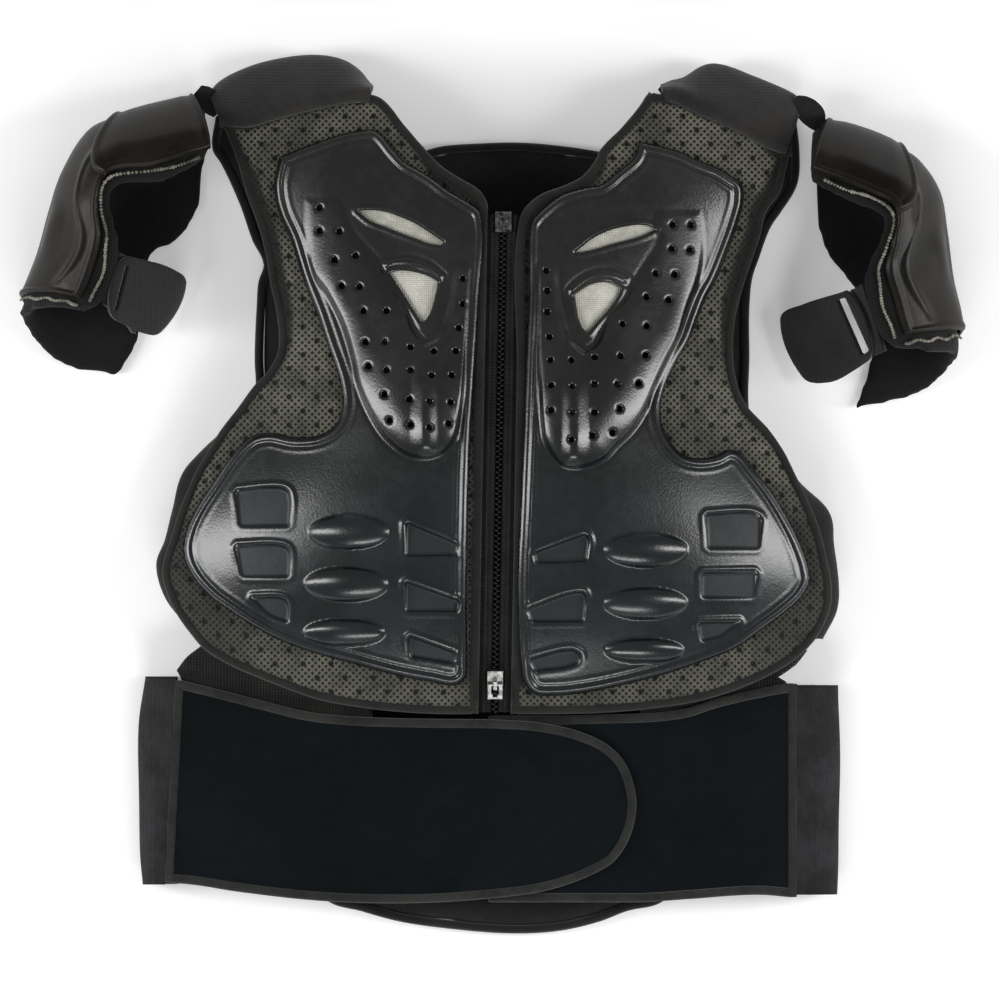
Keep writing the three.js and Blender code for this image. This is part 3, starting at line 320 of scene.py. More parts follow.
STRAP_R = [
    [[862, 284, 0.88], [884, 352, 0.79]], [[856, 288, 0.8], [877, 355, 0.72]],
    [[851, 290, 0.72], [872, 357, 0.66]],
]
STRAP_FLAP_L = [
    [[125.5, 258, 0.96], [111.5, 316, 0.875]], [[150, 262, 0.72], [134, 330, 0.62]],
    [[172, 268, 0.42], [147, 335, 0.36]], [[189, 280, 0.2], [160, 336, 0.18]],
]
STRAP_FLAP_R = [
    [[848, 291, 0.8], [871, 358, 0.72]], [[833, 295, 0.7], [858, 368, 0.6]],
    [[806, 303, 0.4], [832, 383, 0.34]], [[778, 315, 0.2], [804, 382, 0.18]],
]
SLOT_L = [[128, 266], [131, 266], [119, 312], [116, 312]]
SLOT_R = [[835, 300.5], [843.5, 298], [868, 352], [859.5, 356.5]]
TAB_L = [[190, 100], [202, 86], [211, 88], [221, 97], [222, 112], [214, 118], [206, 114], [197, 108]]
TAB_R = [[791, 104], [797, 96], [806, 97], [816, 102], [824, 112], [825, 126], [817, 133], [808, 128],
    [799, 120]]
UNIT_SQUARE = ((0.0, 0.0), (1.0, 0.0), (1.0, 1.0), (0.0, 1.0))

# --- layout and lines


def to_plan(points: Sequence) -> Array:
    """Turns rows of across, down in layout units into rows of x, y in metres."""
    points = np.asarray(points, float)
    return np.column_stack(((points[:, 0] - MID_ACROSS) * UNIT, (MID_DOWN - points[:, 1]) * UNIT))


def to_layout(points: Array) -> Array:
    """Turns rows that start with x, y in metres back into rows of across, down."""
    return np.column_stack((points[:, 0] / UNIT + MID_ACROSS, MID_DOWN - points[:, 1] / UNIT))


def unit(vectors: Array) -> Array:
    """Scales each row to length one."""
    return vectors / np.maximum(np.linalg.norm(vectors, axis=-1, keepdims=True), 1e-12)


def flowing(points: Sequence, closed: bool = True, step: float = 2.0, corner: float = 50.0) -> Array:
    """Draws a smooth line through points, with sharp turns kept.

    Args:
        points: rows of coordinates, in plan or in space.
        closed: whether the last point joins the first.
        step: spacing of the drawn line, in the points' units.
        corner: turn in degrees past which a point stays a corner.

    Returns:
        Points of the drawn line.
    """
    knots = np.asarray(points, float)
    before = unit(knots - np.roll(knots, 1, axis=0))
    after = unit(np.roll(knots, -1, axis=0) - knots)
    sharp = (before * after).sum(1) < math.cos(math.radians(corner))
    if not closed:
        before[0], after[-1] = after[0], before[-1]
    middle = unit(before + after)
    line = []
    for i in range(len(knots) if closed else len(knots) - 1):
        j = (i + 1) % len(knots)
        length = np.linalg.norm(knots[j] - knots[i])
        out = (after[i] if sharp[i] else middle[i]) * length
        into = (before[j] if sharp[j] else middle[j]) * length
        for t in np.arange(0, 1, 1 / max(1, math.ceil(length / step))):
            h = t * t * (3 - 2 * t)
            line.append(knots[i] * (1 - h) + knots[j] * h
                        + out * t * (1 - t) ** 2 - into * t * t * (1 - t))
    if not closed:
        line.append(knots[-1])
    return np.array(line)


def inset(outline: Array, distance: float) -> Array:
    """Moves a closed line inwards.

    Args:
        outline: rows of plan points, closely spaced.
        distance: how far, in the points' units; outwards when negative.

    Returns:
        The moved line, one point for each given one.
    """
    ahead, behind = np.roll(outline, -1, axis=0), np.roll(outline, 1, axis=0)
    area = (outline[:, 0] * ahead[:, 1] - ahead[:, 0] * outline[:, 1]).sum()
    way = unit(ahead - behind)
    return outline + np.sign(area) * distance * np.column_stack((-way[:, 1], way[:, 0]))


def depth_inside(points: Array, outline: Array, reach: float = 1e9) -> Array:
    """Distance of plan points to a closed line, positive inside it.

    Args:
        points: rows of plan points.
        outline: the closed line.
        reach: how far outside the line's box the distance still matters.

    Returns:
        One distance per point, and minus reach for points further away.
    """
    result = np.full(len(points), -float(reach))
    low, high = outline.min(0) - reach, outline.max(0) + reach
    chosen = np.flatnonzero(((points > low) & (points < high)).all(1))
    start, way = outline, np.roll(outline, -1, axis=0) - outline
    square = np.maximum((way ** 2).sum(1), 1e-18)
    slope = way[:, 0] / np.where(np.abs(way[:, 1]) < 1e-12, 1e-12, way[:, 1])
    for part in np.array_split(chosen, max(1, len(chosen) // 3000)):
        from_start = points[part, None, :] - start
        along = np.clip((from_start * way).sum(2) / square, 0, 1)
        gap = np.sqrt(((from_start - along[..., None] * way) ** 2).sum(2).min(1))
        low_side = from_start[..., 1] < 0
        high_side = from_start[..., 1] < way[:, 1]
        passes = (low_side != high_side) & (from_start[..., 0] < from_start[..., 1] * slope)
        result[part] = np.where(passes.sum(1) % 2 == 1, gap, -gap)
    return result


def snap_to_lines(points: Array, lines: Sequence[Array]) -> Array:
    """Moves plan points onto the nearest of some closed lines.

    Args:
        points: rows of plan points.
        lines: closed lines.

    Returns:
        The moved points.
    """
    start = np.concatenate(lines)
    way = np.concatenate([np.roll(line, -1, axis=0) - line for line in lines])
    square = np.maximum((way ** 2).sum(1), 1e-18)
    moved = points.copy()
    for part in np.array_split(np.arange(len(points)), max(1, len(points) // 1000)):
        from_start = points[part, None, :] - start
        along = np.clip((from_start * way).sum(2) / square, 0, 1)
        spots = start + along[..., None] * way
        best = ((points[part, None, :] - spots) ** 2).sum(2).argmin(1)
        moved[part] = spots[np.arange(len(part)), best]
    return moved


def ease(low: float, high: float, value: Array) -> Array:
    """Smooth step of a value from 0 at low to 1 at high."""
    t = np.clip((value - low) / (high - low), 0, 1)
    return t * t * (3 - 2 * t)


def bell(value: Array, middle: float, reach: float) -> Array:
    """Rounded bump of height one around a middle value."""
    t = np.clip(np.abs(value - middle) / reach, 0, 1)
    return (1 - t * t) ** 2


def ripple(points: Array, size: float, seed: int) -> Array:
    """Soft irregular swell over plan points.

    Args:
        points: rows of plan points in metres.
        size: typical distance between crests.
        seed: which swell.

    Returns:
        One value per point, from about -1 to 1.
    """
    rng = np.random.default_rng(seed)
    total = np.zeros(len(points))
    for _ in range(9):
        turn, phase = rng.uniform(0, 2 * math.pi, 2)
        pitch = size * rng.uniform(0.7, 1.6)
        way = np.array([math.cos(turn), math.sin(turn)])
        total += np.sin(points[:, :2] @ way * 2 * math.pi / pitch + phase)
    return total / 4


# --- surfaces


FRONT_ROWS = np.array(FRONT, float)


def front_column(column: int, level: Array) -> Array:
    """Smooth value of a column of the front table at some levels.

    Args:
        column: which column.
        level: levels down the layout.

    Returns:
        The column's value at each level.
    """
    downs, values = FRONT_ROWS[:, 0], FRONT_ROWS[:, column]
    last = len(downs) - 1
    i = np.clip(np.searchsorted(downs, level, side="right") - 1, 0, last - 1)
    before, after = np.maximum(np.arange(last + 1) - 1, 0), np.minimum(np.arange(last + 1) + 1, last)
    slope = (values[after] - values[before]) / (downs[after] - downs[before])
    width = downs[i + 1] - downs[i]
    t = np.clip((level - downs[i]) / width, 0, 1)
    h = t * t * (3 - 2 * t)
    return (values[i] * (1 - h) + values[i + 1] * h
            + width * (slope[i] * t * (1 - t) ** 2 - slope[i + 1] * t * t * (1 - t)))


def chest(plan: Array) -> Array:
    """Height of the chest's smooth outer surface.

    Args:
        plan: rows that start with x, y in metres.

    Returns:
        Heights in metres.
    """
    spot = to_layout(plan)
    across = np.abs(spot[:, 0] - MID_ACROSS) / front_column(1, spot[:, 1])
    middle, edge = front_column(2, spot[:, 1]), front_column(3, spot[:, 1])
    return CHEST_TOP * (edge + (middle - edge) * (1 - across ** FRONT_POWER))


def panel_top(plan: Array) -> Array:
    """Height of the padded mesh's outer face, under the plates."""
    return chest(plan) - (PLATE_T + FIT_GAP)


def panel_middle(plan: Array) -> Array:
    """Height of the padded mesh's middle, where its tapes lie."""
    return panel_top(plan) - PANEL_T / 2


def upward(height: Callable[[Array], Array], plan: Array, reach: float = 0.002) -> Array:
    """Unit normals of a height field.

    Args:
        height: the height field over plan points.
        plan: rows that start with x, y.
        reach: how far apart the slope is measured.

    Returns:
        One upward unit vector per point.
    """
    flat = plan[:, :2]
    right, far = np.array([reach, 0]), np.array([0, reach])
    dx = (height(flat + right) - height(flat - right)) / (2 * reach)
    dy = (height(flat + far) - height(flat - far)) / (2 * reach)
    return unit(np.column_stack((-dx, -dy, np.ones(len(flat)))))


def belt_middle(plan: Array) -> Array:
    """Height of the middle of the belt's front over plan points."""
    reach = (BELT_END - MID_ACROSS) * UNIT
    return BELT_MID_LOW + (BELT_MID_HIGH - BELT_MID_LOW) * (1 - (plan[:, 0] / reach) ** 2)


def flap_middle(plan: Array) -> Array:
    """Height of the middle of the belt's upper flap over plan points."""
    rise = CLOTH_T + 1.1 * MM
    return belt_middle(plan) + rise * ease((LAP_FROM - MID_ACROSS) * UNIT, (LAP_TO - MID_ACROSS) * UNIT,
                                           plan[:, 0])


def spline(rows: Array, where: Array) -> Array:
    """Curve through control rows at some shares of its length.

    Args:
        rows: control values, one row per knot.
        where: shares from 0 to 1.

    Returns:
        The curve's value at each share.
    """
    padded = np.concatenate(([2 * rows[0] - rows[1]], rows, [2 * rows[-1] - rows[-2]]))
    place = np.clip(where, 0, 1) * (len(rows) - 1)
    i = np.minimum(place.astype(int), len(rows) - 2)
    t = (place - i).reshape((-1,) + (1,) * (rows.ndim - 1))
    a, b, c, d = padded[i], padded[i + 1], padded[i + 2], padded[i + 3]
    return b + 0.5 * t * (c - a + t * (2 * a - 5 * b + 4 * c - d + t * (3 * (b - c) + d - a)))


@dataclass(frozen=True)
class Net:
    """Curved middle surface drawn through rows of points in space."""

    rows: Array
    floor: float = -1.0

    def at(self, along: Array, across: Array) -> Array:
        """Points of the surface.

        Args:
            along: shares along the rows, one per point.
            across: shares across each row, one per point.

        Returns:
            Rows of x, y, z.
        """
        lines = spline(self.rows, along)
        count = self.rows.shape[1]
        padded = np.concatenate((2 * lines[:, :1] - lines[:, 1:2], lines,
                                 2 * lines[:, -1:] - lines[:, -2:-1]), axis=1)
        place = np.clip(across, 0, 1) * (count - 1)
        i = np.minimum(place.astype(int), count - 2)
        t = (place - i)[:, None]
        k = np.arange(len(along))
        a, b, c, d = (padded[k, i + n] for n in range(4))
        spots = b + 0.5 * t * (c - a + t * (2 * a - 5 * b + 4 * c - d + t * (3 * (b - c) + d - a)))
        spots[:, 2] = np.maximum(spots[:, 2], self.floor)
        return spots

    def normal(self, along: Array, across: Array) -> Array:
        """Unit normals of the surface at the same shares as at()."""
        step = 0.01
        one = self.at(np.minimum(along + step, 1), across) - self.at(np.maximum(along - step, 0), across)
        two = self.at(along, np.minimum(across + step, 1)) - self.at(along, np.maximum(across - step, 0))
        return unit(np.cross(one, two))


def net_size(net: Net, count: int = 30) -> tuple[float, float]:
    """Longest way along and across a net, in metres."""
    s, t = (g.ravel() for g in np.meshgrid(*[np.linspace(0, 1, count)] * 2, indexing="ij"))
    spots = net.at(s, t).reshape(count, count, 3)
    along = np.linalg.norm(np.diff(spots, axis=0), axis=2).sum(0).max()
    across = np.linalg.norm(np.diff(spots, axis=1), axis=2).sum(1).max()
    return float(along), float(across)


# --- meshes


def spots_of(mesh: Mesh) -> Array:
    """Coordinates of a mesh's vertices, one row each."""
    return np.array([v.co[:] for v in mesh.verts])


def place_verts(mesh: Mesh, spots: Array) -> None:
    """Moves every vertex of a mesh to the row of the same place."""
    for vert, spot in zip(mesh.verts, spots):
        vert.co = spot


def lattice(rows: int, columns: int) -> tuple[Mesh, Array]:
    """Makes a flat grid whose vertices know their row and column.

    Args:
        rows: cells one way.
        columns: cells the other way.

    Returns:
        The grid, and rows of whole numbers, one per vertex.
    """
    mesh = bmesh.new()
    bmesh.ops.create_grid(mesh, x_segments=rows, y_segments=columns, size=0.5)
    spots = spots_of(mesh)[:, :2]
    share = (spots - spots.min(0)) / (spots.max(0) - spots.min(0))
    return mesh, np.rint(share * [rows, columns]).astype(int)


def lay_map(mesh: Mesh, values: Array) -> None:
    """Writes a UV map from one pair of values per vertex."""
    layer = mesh.loops.layers.uv.new("UVMap")
    mesh.verts.ensure_lookup_table()
    for face in mesh.faces:
        for loop in face.loops:
            loop[layer].uv = values[loop.vert.index]


def cut_out(outline: Array, holes: Sequence[Array], step: float, corner: float = 40.0) -> Mesh:
    """Cuts a flat sheet to an outline, with holes.

    Args:
        outline: closed line in layout units.
        holes: closed lines in layout units.
        step: size of the sheet's cells.
        corner: turn in degrees past which the line's own point is kept.

    Returns:
        The flat sheet, its vertices in layout units.
    """
    low, high = outline.min(0) - 0.4 * step, outline.max(0) + 0.4 * step
    cells = np.ceil((high - low) / step).astype(int)
    mesh, grid = lattice(int(cells[0]), int(cells[1]))
    spots = low + grid * (high - low) / cells
    place_verts(mesh, np.column_stack((spots, np.zeros(len(spots)))))
    centres = np.array([face.calc_center_median()[:2] for face in mesh.faces])
    keep = depth_inside(centres, outline) > 0
    for hole in holes:
        keep &= depth_inside(centres, hole, 4 * step) < 0
    mesh.faces.ensure_lookup_table()
    bmesh.ops.delete(mesh, geom=[mesh.faces[i] for i in np.flatnonzero(~keep)], context="FACES")
    for _ in range(4):
        pinched = [v for v in mesh.verts if sum(e.is_boundary for e in v.link_edges) > 2]
        thin = {face for vert in pinched for face in vert.link_faces}
        if not thin:
            break
        bmesh.ops.delete(mesh, geom=list(thin), context="FACES")
    rim = [v for v in mesh.verts if v.is_boundary]
    flat = np.array([v.co[:2] for v in rim])
    lines = [outline, *holes]
    moved = snap_to_lines(flat, lines)
    for line in lines:
        before, after = unit(line - np.roll(line, 1, axis=0)), unit(np.roll(line, -1, axis=0) - line)
        for point in line[(before * after).sum(1) < math.cos(math.radians(corner))]:
            moved[((moved - point) ** 2).sum(1).argmin()] = point
    for vert, (x, y) in zip(rim, moved):
        vert.co = (x, y, 0)
    near = list({e.other_vert(v) for v in rim for e in v.link_edges} - set(rim))
    for _ in range(3):
        bmesh.ops.smooth_vert(mesh, verts=near, factor=0.5, use_axis_x=True, use_axis_y=True,
                              use_axis_z=False)
    return mesh


def raise_sheet(mesh: Mesh, height: Callable[[Array, Array], Array]) -> Array:
    """Turns a flat sheet in layout units into a curved one in metres.

    Args:
        mesh: the flat sheet.
        height: gives heights from the layout spots and the plan points.

    Returns:
        The layout spot of each vertex.
    """
    spots = spots_of(mesh)[:, :2]
    plan = to_plan(spots)
    place_verts(mesh, np.column_stack((plan, height(spots, plan))))
    bmesh.ops.reverse_faces(mesh, faces=mesh.faces[:])
    lay_map(mesh, plan)
    return spots


def sweep(path: Array, up: Array, profile: Array, closed: bool = True) -> Mesh:
    """Runs a closed profile along a path.

    Args:
        path: points in space.
        up: upward unit vector at each point.
        profile: rows of sideways, upward offsets in metres.
        closed: whether the path's end joins its start.

    Returns:
        A closed tube, with metres along and round it in its UV map.
    """
    ahead = np.roll(path, -1, axis=0) - np.roll(path, 1, axis=0)
    if not closed:
        ahead[0], ahead[-1] = path[1] - path[0], path[-1] - path[-2]
    sideways = unit(np.cross(unit(ahead), up))
    lift = unit(np.cross(sideways, unit(ahead)))
    count, around = len(path), len(profile)
    rows = count if closed else count - 1
    mesh, grid = lattice(rows, around)
    i, j = grid[:, 0] % count, grid[:, 1] % around
    place_verts(mesh, path[i] + sideways[i] * profile[j, :1] + lift[i] * profile[j, 1:])
    steps = np.linalg.norm(np.diff(path, axis=0, append=path[:1]), axis=1)
    along = np.concatenate(([0], np.cumsum(steps)))
    girth = np.linalg.norm(np.diff(profile, axis=0, append=profile[:1]), axis=1)
    round_it = np.concatenate(([0], np.cumsum(girth)))
    lay_map(mesh, np.column_stack((along[grid[:, 0]], round_it[grid[:, 1]])))
    bmesh.ops.remove_doubles(mesh, verts=mesh.verts[:], dist=1e-7)
    if not closed:
        bmesh.ops.holes_fill(mesh, edges=[e for e in mesh.edges if e.is_boundary], sides=0)
    bmesh.ops.recalc_face_normals(mesh, faces=mesh.faces[:])
    return mesh


def oval_profile(width: float, height: float, count: int = 12, square: float = 0.65) -> Array:
    """Rounded flat profile of a tape.

    Args:
        width: full width.
        height: full height.
        count: points round it.
        square: below one, the profile fills its corners.

    Returns:
        Rows of sideways, upward offsets.
    """
    turn = np.linspace(0, 2 * math.pi, count, endpoint=False)
    c, s = np.cos(turn), np.sin(turn)
    return np.column_stack((np.sign(c) * np.abs(c) ** square * width / 2,
                            np.sign(s) * np.abs(s) ** square * height / 2))


def drape_net(net: Net, corners: Sequence, cells: tuple[int, int], offset: float,
              relief: Optional[Callable[[Array, Array, Array], Array]] = None,
              flip: float = 1.0, bend: float = 0.0) -> Mesh:
    """Lays a sheet over part of a net.

    Args:
        net: the surface.
        corners: four pairs of shares along and across the net.
        cells: cells of the sheet along and across.
        offset: how far outside the net's middle the sheet lies.
        relief: extra height from spots, and the shares along and across the sheet.
        flip: 1 or -1, the side of the net that is outside.
        bend: how far the sheet's far end waves along the net.

    Returns:
        The sheet, facing outwards.
    """
    mesh, grid = lattice(*cells)
    s, t = (grid / np.array(cells)).T
    a, b, c, d = (np.array(corner, float) for corner in corners)
    where = ((a * (1 - s)[:, None] + b * s[:, None]) * (1 - t)[:, None]
             + (d * (1 - s)[:, None] + c * s[:, None]) * t[:, None])
    where[:, 0] += bend * np.sin(2 * math.pi * t) * s ** 3
    spots = net.at(where[:, 0], where[:, 1])
    out = net.normal(where[:, 0], where[:, 1]) * flip
    extra = 0 if relief is None else relief(spots, s, t)
    place_verts(mesh, spots + out * (offset + np.zeros(len(s)) + extra)[:, None])
    rows = net.rows
    length = np.linalg.norm(np.diff(rows[:, 0], axis=0), axis=1).sum()
    width = np.linalg.norm(np.diff(rows[0], axis=0), axis=1).sum()
    lay_map(mesh, np.column_stack((where[:, 0] * length, where[:, 1] * width)))
    mesh.normal_update()
    facing = sum(f.normal.dot(Vector(out[f.verts[0].index])) for f in mesh.faces)
    if facing < 0:
        bmesh.ops.reverse_faces(mesh, faces=mesh.faces[:])
    return mesh


# --- simulated padding


def remesh(piece: Piece, voxel: float) -> None:
    """Rebuilds a piece with even faces of one size."""
    step = piece.modifiers.new("even", "REMESH")
    step.mode = "VOXEL"
    step.voxel_size = voxel
    step.use_smooth_shade = True


def bake(piece: Piece) -> None:
    """Turns a piece's live modifiers into its own mesh."""
    graph = bpy.context.evaluated_depsgraph_get()
    shape = bpy.data.meshes.new_from_object(piece.evaluated_get(graph))
    piece.modifiers.clear()
    old, piece.data = piece.data, shape
    bpy.data.meshes.remove(old)


@dataclass(frozen=True)
class Puffing:
    """Cloth simulation that fills a piece like padding.

    Attributes:
        voxel: size of the simulated faces in metres.
        pressure: air pressure inside.
        frames: length of the simulation.
        cap: furthest that a point may move, in metres.
        relax: rounds of smoothing after it.
        mass: of each point.
        stretch: stiffness along the cloth.
        shear: stiffness across its weave.
        bending: stiffness against folds.
    """

    voxel: float = 0.0045
    pressure: float = 4.0
    frames: int = 20
    cap: float = 0.002
    relax: int = 0
    mass: float = 0.3
    stretch: float = 25.0
    shear: float = 15.0
    bending: float = 0.8

    def fill(self, piece: Piece) -> None:
        """Simulates a piece and keeps the filled shape.

        Args:
            piece: closed piece at the origin.
        """
        remesh(piece, self.voxel)
        bake(piece)
        self.simulate(piece)
        if self.relax:
            even = piece.modifiers.new("relax", "SMOOTH")
            even.factor, even.iterations = 0.5, self.relax
        finer = piece.modifiers.new("finer", "SUBSURF")
        finer.levels = finer.render_levels = 1
        bake(piece)
        settle(piece)
        log.info("filled %s: %d faces", piece.name, len(piece.data.polygons))

    def simulate(self, piece: Piece) -> None:
        """Runs the cloth steps and limits how far the points move."""
        rest = read_spots(piece)
        cloth = piece.modifiers.new("fill", "CLOTH")
        settings = cloth.settings
        settings.use_pressure = True
        settings.uniform_pressure_force = self.pressure
        settings.effector_weights.gravity = 0.0
        settings.quality = 5
        settings.mass = self.mass
        settings.tension_stiffness = settings.compression_stiffness = self.stretch
        settings.shear_stiffness = self.shear
        settings.bending_stiffness = self.bending
        cloth.point_cache.frame_start, cloth.point_cache.frame_end = 1, self.frames
        scene = bpy.context.scene
        for frame_number in range(1, self.frames + 1):
            scene.frame_set(frame_number)
        graph = bpy.context.evaluated_depsgraph_get()
        moved = read_spots(piece.evaluated_get(graph))
        piece.modifiers.remove(cloth)
        scene.frame_set(1)
        shift = moved - rest
        length = np.linalg.norm(shift, axis=1, keepdims=True)
        kept = self.cap * np.tanh(length / self.cap)
        write_spots(piece, rest + shift / np.maximum(length, 1e-9) * kept)


def read_spots(piece: Piece) -> Array:
    """Coordinates of a piece's vertices, one row each."""
    spots = np.zeros(len(piece.data.vertices) * 3)
    piece.data.vertices.foreach_get("co", spots)
    return spots.reshape(-1, 3)


def write_spots(piece: Piece, spots: Array) -> None:
    """Moves a piece's vertices to the given rows."""
    piece.data.vertices.foreach_set("co", spots.ravel())
    piece.data.update()


def settle(piece: Piece, top: float = 1.0) -> None:
    """Flattens a piece where it would reach under the floor or over a height."""
    spots = read_spots(piece)
    spots[:, 2] = np.clip(spots[:, 2], FLOOR_GAP, top)
    write_spots(piece, spots)


def write_shares(piece: Piece, name: str, shares: Array) -> None:
    """Stores one number per vertex, for the finishes to read."""
    layer = piece.data.attributes.new(name, "FLOAT", "POINT")
    layer.data.foreach_set("value", shares.astype(np.float32))


def link(name: str, data: bpy.types.ID) -> Piece:
    """Adds an object with its data to the scene."""
    made = bpy.data.objects.new(name, data)
    bpy.context.scene.collection.objects.link(made)
    return made


def add_mesh(name: str, mesh: Mesh) -> Piece:
    """Turns a mesh into an object of the scene, and frees it."""
    data = bpy.data.meshes.new(name)
    mesh.to_mesh(data)
    mesh.free()
    return link(name, data)


# --- pieces


class Body(Enum):
    """Rigid groups of the frame that a piece can move with."""

    VEST = "vest"
    PULL = "zip_pull"


class Slot(Enum):
    """Finishes of the frame that a scene can repaint."""

    PLATE = "plate"
    MESH = "mesh"
    BINDING = "binding"
    CLOTH = "cloth"
    BAND = "band"
    PLUSH = "plush"
    ELASTIC = "elastic"
    INSERT = "insert"
    SILVER = "silver"
    DARK = "dark"


class Hold(Enum):
    """Ways in which a sheet of cloth is held."""

    LAID = "laid"
    FOLDED = "folded"
    STRETCHED = "stretched"


@dataclass
class Workshop:
    """Makes pieces and ties them to the frame.

    Attributes:
        finishes: the material of each finish, by name.
    """

    finishes: dict[str, Material] = field(default_factory=dict)

    def piece(self, name: str, mesh: Mesh, finish: str, slot: Slot, smooth: bool = True) -> Piece:
        """Turns a mesh into a piece with its finish.

        Args:
            name: the piece's name.
            mesh: its shape, freed here.
            finish: name of its finish.
            slot: the frame's finish it stands for; not used.
            smooth: whether its faces are shaded smoothly.

        Returns:
            The piece at the origin.
        """
        made = add_mesh(name, mesh)
        faces = made.data.polygons
        faces.foreach_set("use_smooth", [smooth] * len(faces))
        made.data.materials.append(self.finishes[finish])
        log.info("piece %s: %d faces", name, len(faces))
        return made

    def cloth(self, piece: Piece, hold: Hold, rests_on: Sequence[str] = (),
              size: Optional[tuple[float, float]] = None, with_pieces: Sequence[Piece] = ()) -> None:
        """Logs a sheet of cloth's flat size and area, before it has its thickness.

        Args:
            piece: the open sheet.
            hold: how it is held; not used.
            rests_on: names of the pieces that it lies on.
            size: its flat size, where its plan doesn't give it.
            with_pieces: trims sewn to it; not used.
        """
        area = sum(face.area for face in piece.data.polygons)
        if size is None:
            spots = read_spots(piece)
            width, length = (spots.max(0) - spots.min(0))[:2]
            flat = sum(face.area * abs(face.normal.z) for face in piece.data.polygons)
            grow = math.sqrt(area / flat)
            size = float(width * grow), float(length * grow)
        area = min(area, size[0] * size[1])
        list(rests_on)
        log.info("sheet %s: %.0f by %.0f mm, %.0f cm2", piece.name, size[0] / MM, size[1] / MM, area * 1e4)

    def sheet(self, name: str, line: Array, step: float, height: Callable, finish: str, slot: Slot,
              hold: Hold, rests_on: Sequence[str], node: str, thickness: float = CLOTH_T,
              bevel: float = 0.0, holes: Sequence[Array] = ()) -> None:
        """Cuts a sheet of cloth and lays it over a height.

        Args:
            name: the piece's name.
            line: its outline in layout units.
            step: size of its cells.
            height: gives heights from the layout spots and the plan points.
            finish: name of its finish.
            slot: the frame's finish it stands for.
            hold: how it is held.
            rests_on: names of the pieces that it lies on.
            node: node of the frame it stands for.
            thickness: in metres.
            bevel: width of the softened edge.
            holes: lines cut out of it.
        """
        mesh = cut_out(line, holes, step)
        raise_sheet(mesh, height)
        piece = self.piece(name, mesh, finish, slot)
        self.cloth(piece, hold, rests_on)
        thicken(piece, thickness, bevel)
        self.tie(piece, [node])

    def tie(self, piece: Piece, nodes: Sequence[str] = (), body: Body = Body.VEST) -> None:
        """Lets a piece move with a body and stand for nodes of the frame."""
        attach(piece, body.value)
        if nodes:
            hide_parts(*nodes)


def thicken(piece: Piece, thickness: float, bevel: float = 0.0) -> Piece:
    """Gives a sheet its thickness under its outer face, with softened edges.

    Args:
        piece: the open sheet.
        thickness: in metres.
        bevel: width of the softened edge.

    Returns:
        The same piece.
    """
    wall = piece.modifiers.new("wall", "SOLIDIFY")
    wall.thickness = thickness
    wall.offset = -1.0
    wall.use_even_offset = False
    if bevel:
        soft = piece.modifiers.new("soft", "BEVEL")
        soft.width = bevel
        soft.segments = 2
        soft.limit_method = "ANGLE"
        soft.angle_limit = math.radians(50)
    return piece


# --- finishes


def linear(code: str) -> tuple[float, float, float, float]:
    """Turns a screen colour such as 2a2b20 into a shader colour."""
    parts = [int(code[i:i + 2], 16) / 255 for i in (0, 2, 4)]
    return tuple(c / 12.92 if c < 0.04045 else ((c + 0.055) / 1.055) ** 2.4 for c in parts) + (1.0,)


class Tree:
    """Writes a shader node tree in short calls.

    Attributes:
        tree: the node tree written to.
    """

    def __init__(self, tree: NodeTree) -> None:
        """Takes the node tree to write to."""
        self.tree = tree

    def node(self, kind: str, **settings: object) -> Node:
        """Adds a node with some of its settings."""
        made = self.tree.nodes.new(kind)
        for name, value in settings.items():
            setattr(made, name, value)
        return made

    def feed(self, socket: Socket, value: object) -> None:
        """Links a socket to another, or sets it to a value."""
        if isinstance(value, Socket):
            self.tree.links.new(value, socket)
        else:
            socket.default_value = value

    def paint(self, node: Node, look: Look) -> None:
        """Feeds a node's inputs by name."""
        for name, value in look.items():
            self.feed(node.inputs[name], value)

    def math(self, operation: str, *values: object) -> Socket:
        """Adds a number operation and gives its result."""
        made = self.node("ShaderNodeMath", operation=operation)
        for socket, value in zip(made.inputs, values):
            self.feed(socket, value)
        return made.outputs[0]

    def scale(self, vector: object, by: object) -> Socket:
        """Multiplies a vector by a number."""
        made = self.node("ShaderNodeVectorMath", operation="SCALE")
        self.feed(made.inputs[0], vector)
        self.feed(made.inputs["Scale"], by)
        return made.outputs[0]

    def split(self, vector: object) -> tuple[Socket, ...]:
        """Gives the three numbers of a vector."""
        made = self.node("ShaderNodeSeparateXYZ")
        self.feed(made.inputs[0], vector)
        return tuple(made.outputs)

    def blend(self, factor: object, one: object, other: object) -> Socket:
        """Mixes two colours."""
        made = self.node("ShaderNodeMix", data_type="RGBA")
        for socket, value in ((made.inputs[0], factor), (made.inputs[6], one), (made.inputs[7], other)):
            self.feed(socket, value)
        return made.outputs[2]

    def remap(self, value: object, low: object, high: object, to_low: object = 0.0,
              to_high: object = 1.0) -> Socket:
        """Maps a value smoothly from one range to another, held at the ends."""
        made = self.node("ShaderNodeMapRange", interpolation_type="SMOOTHSTEP")
        for socket, item in zip(made.inputs, (value, low, high, to_low, to_high)):
            self.feed(socket, item)
        return made.outputs[0]

    def noise(self, vector: object, scale: object, detail: float = 3.0) -> Socket:
        """Adds smooth noise and gives its value."""
        made = self.node("ShaderNodeTexNoise")
        self.paint(made, {"Vector": vector, "Scale": scale, "Detail": detail})
        return made.outputs[0]

    def group(self, tree: NodeTree, **values: object) -> Node:
        """Adds a node group and feeds its inputs by name."""
        made = self.node("ShaderNodeGroup", node_tree=tree)
        self.paint(made, values)
        return made


Sockets = Sequence[tuple[str, str, object]]


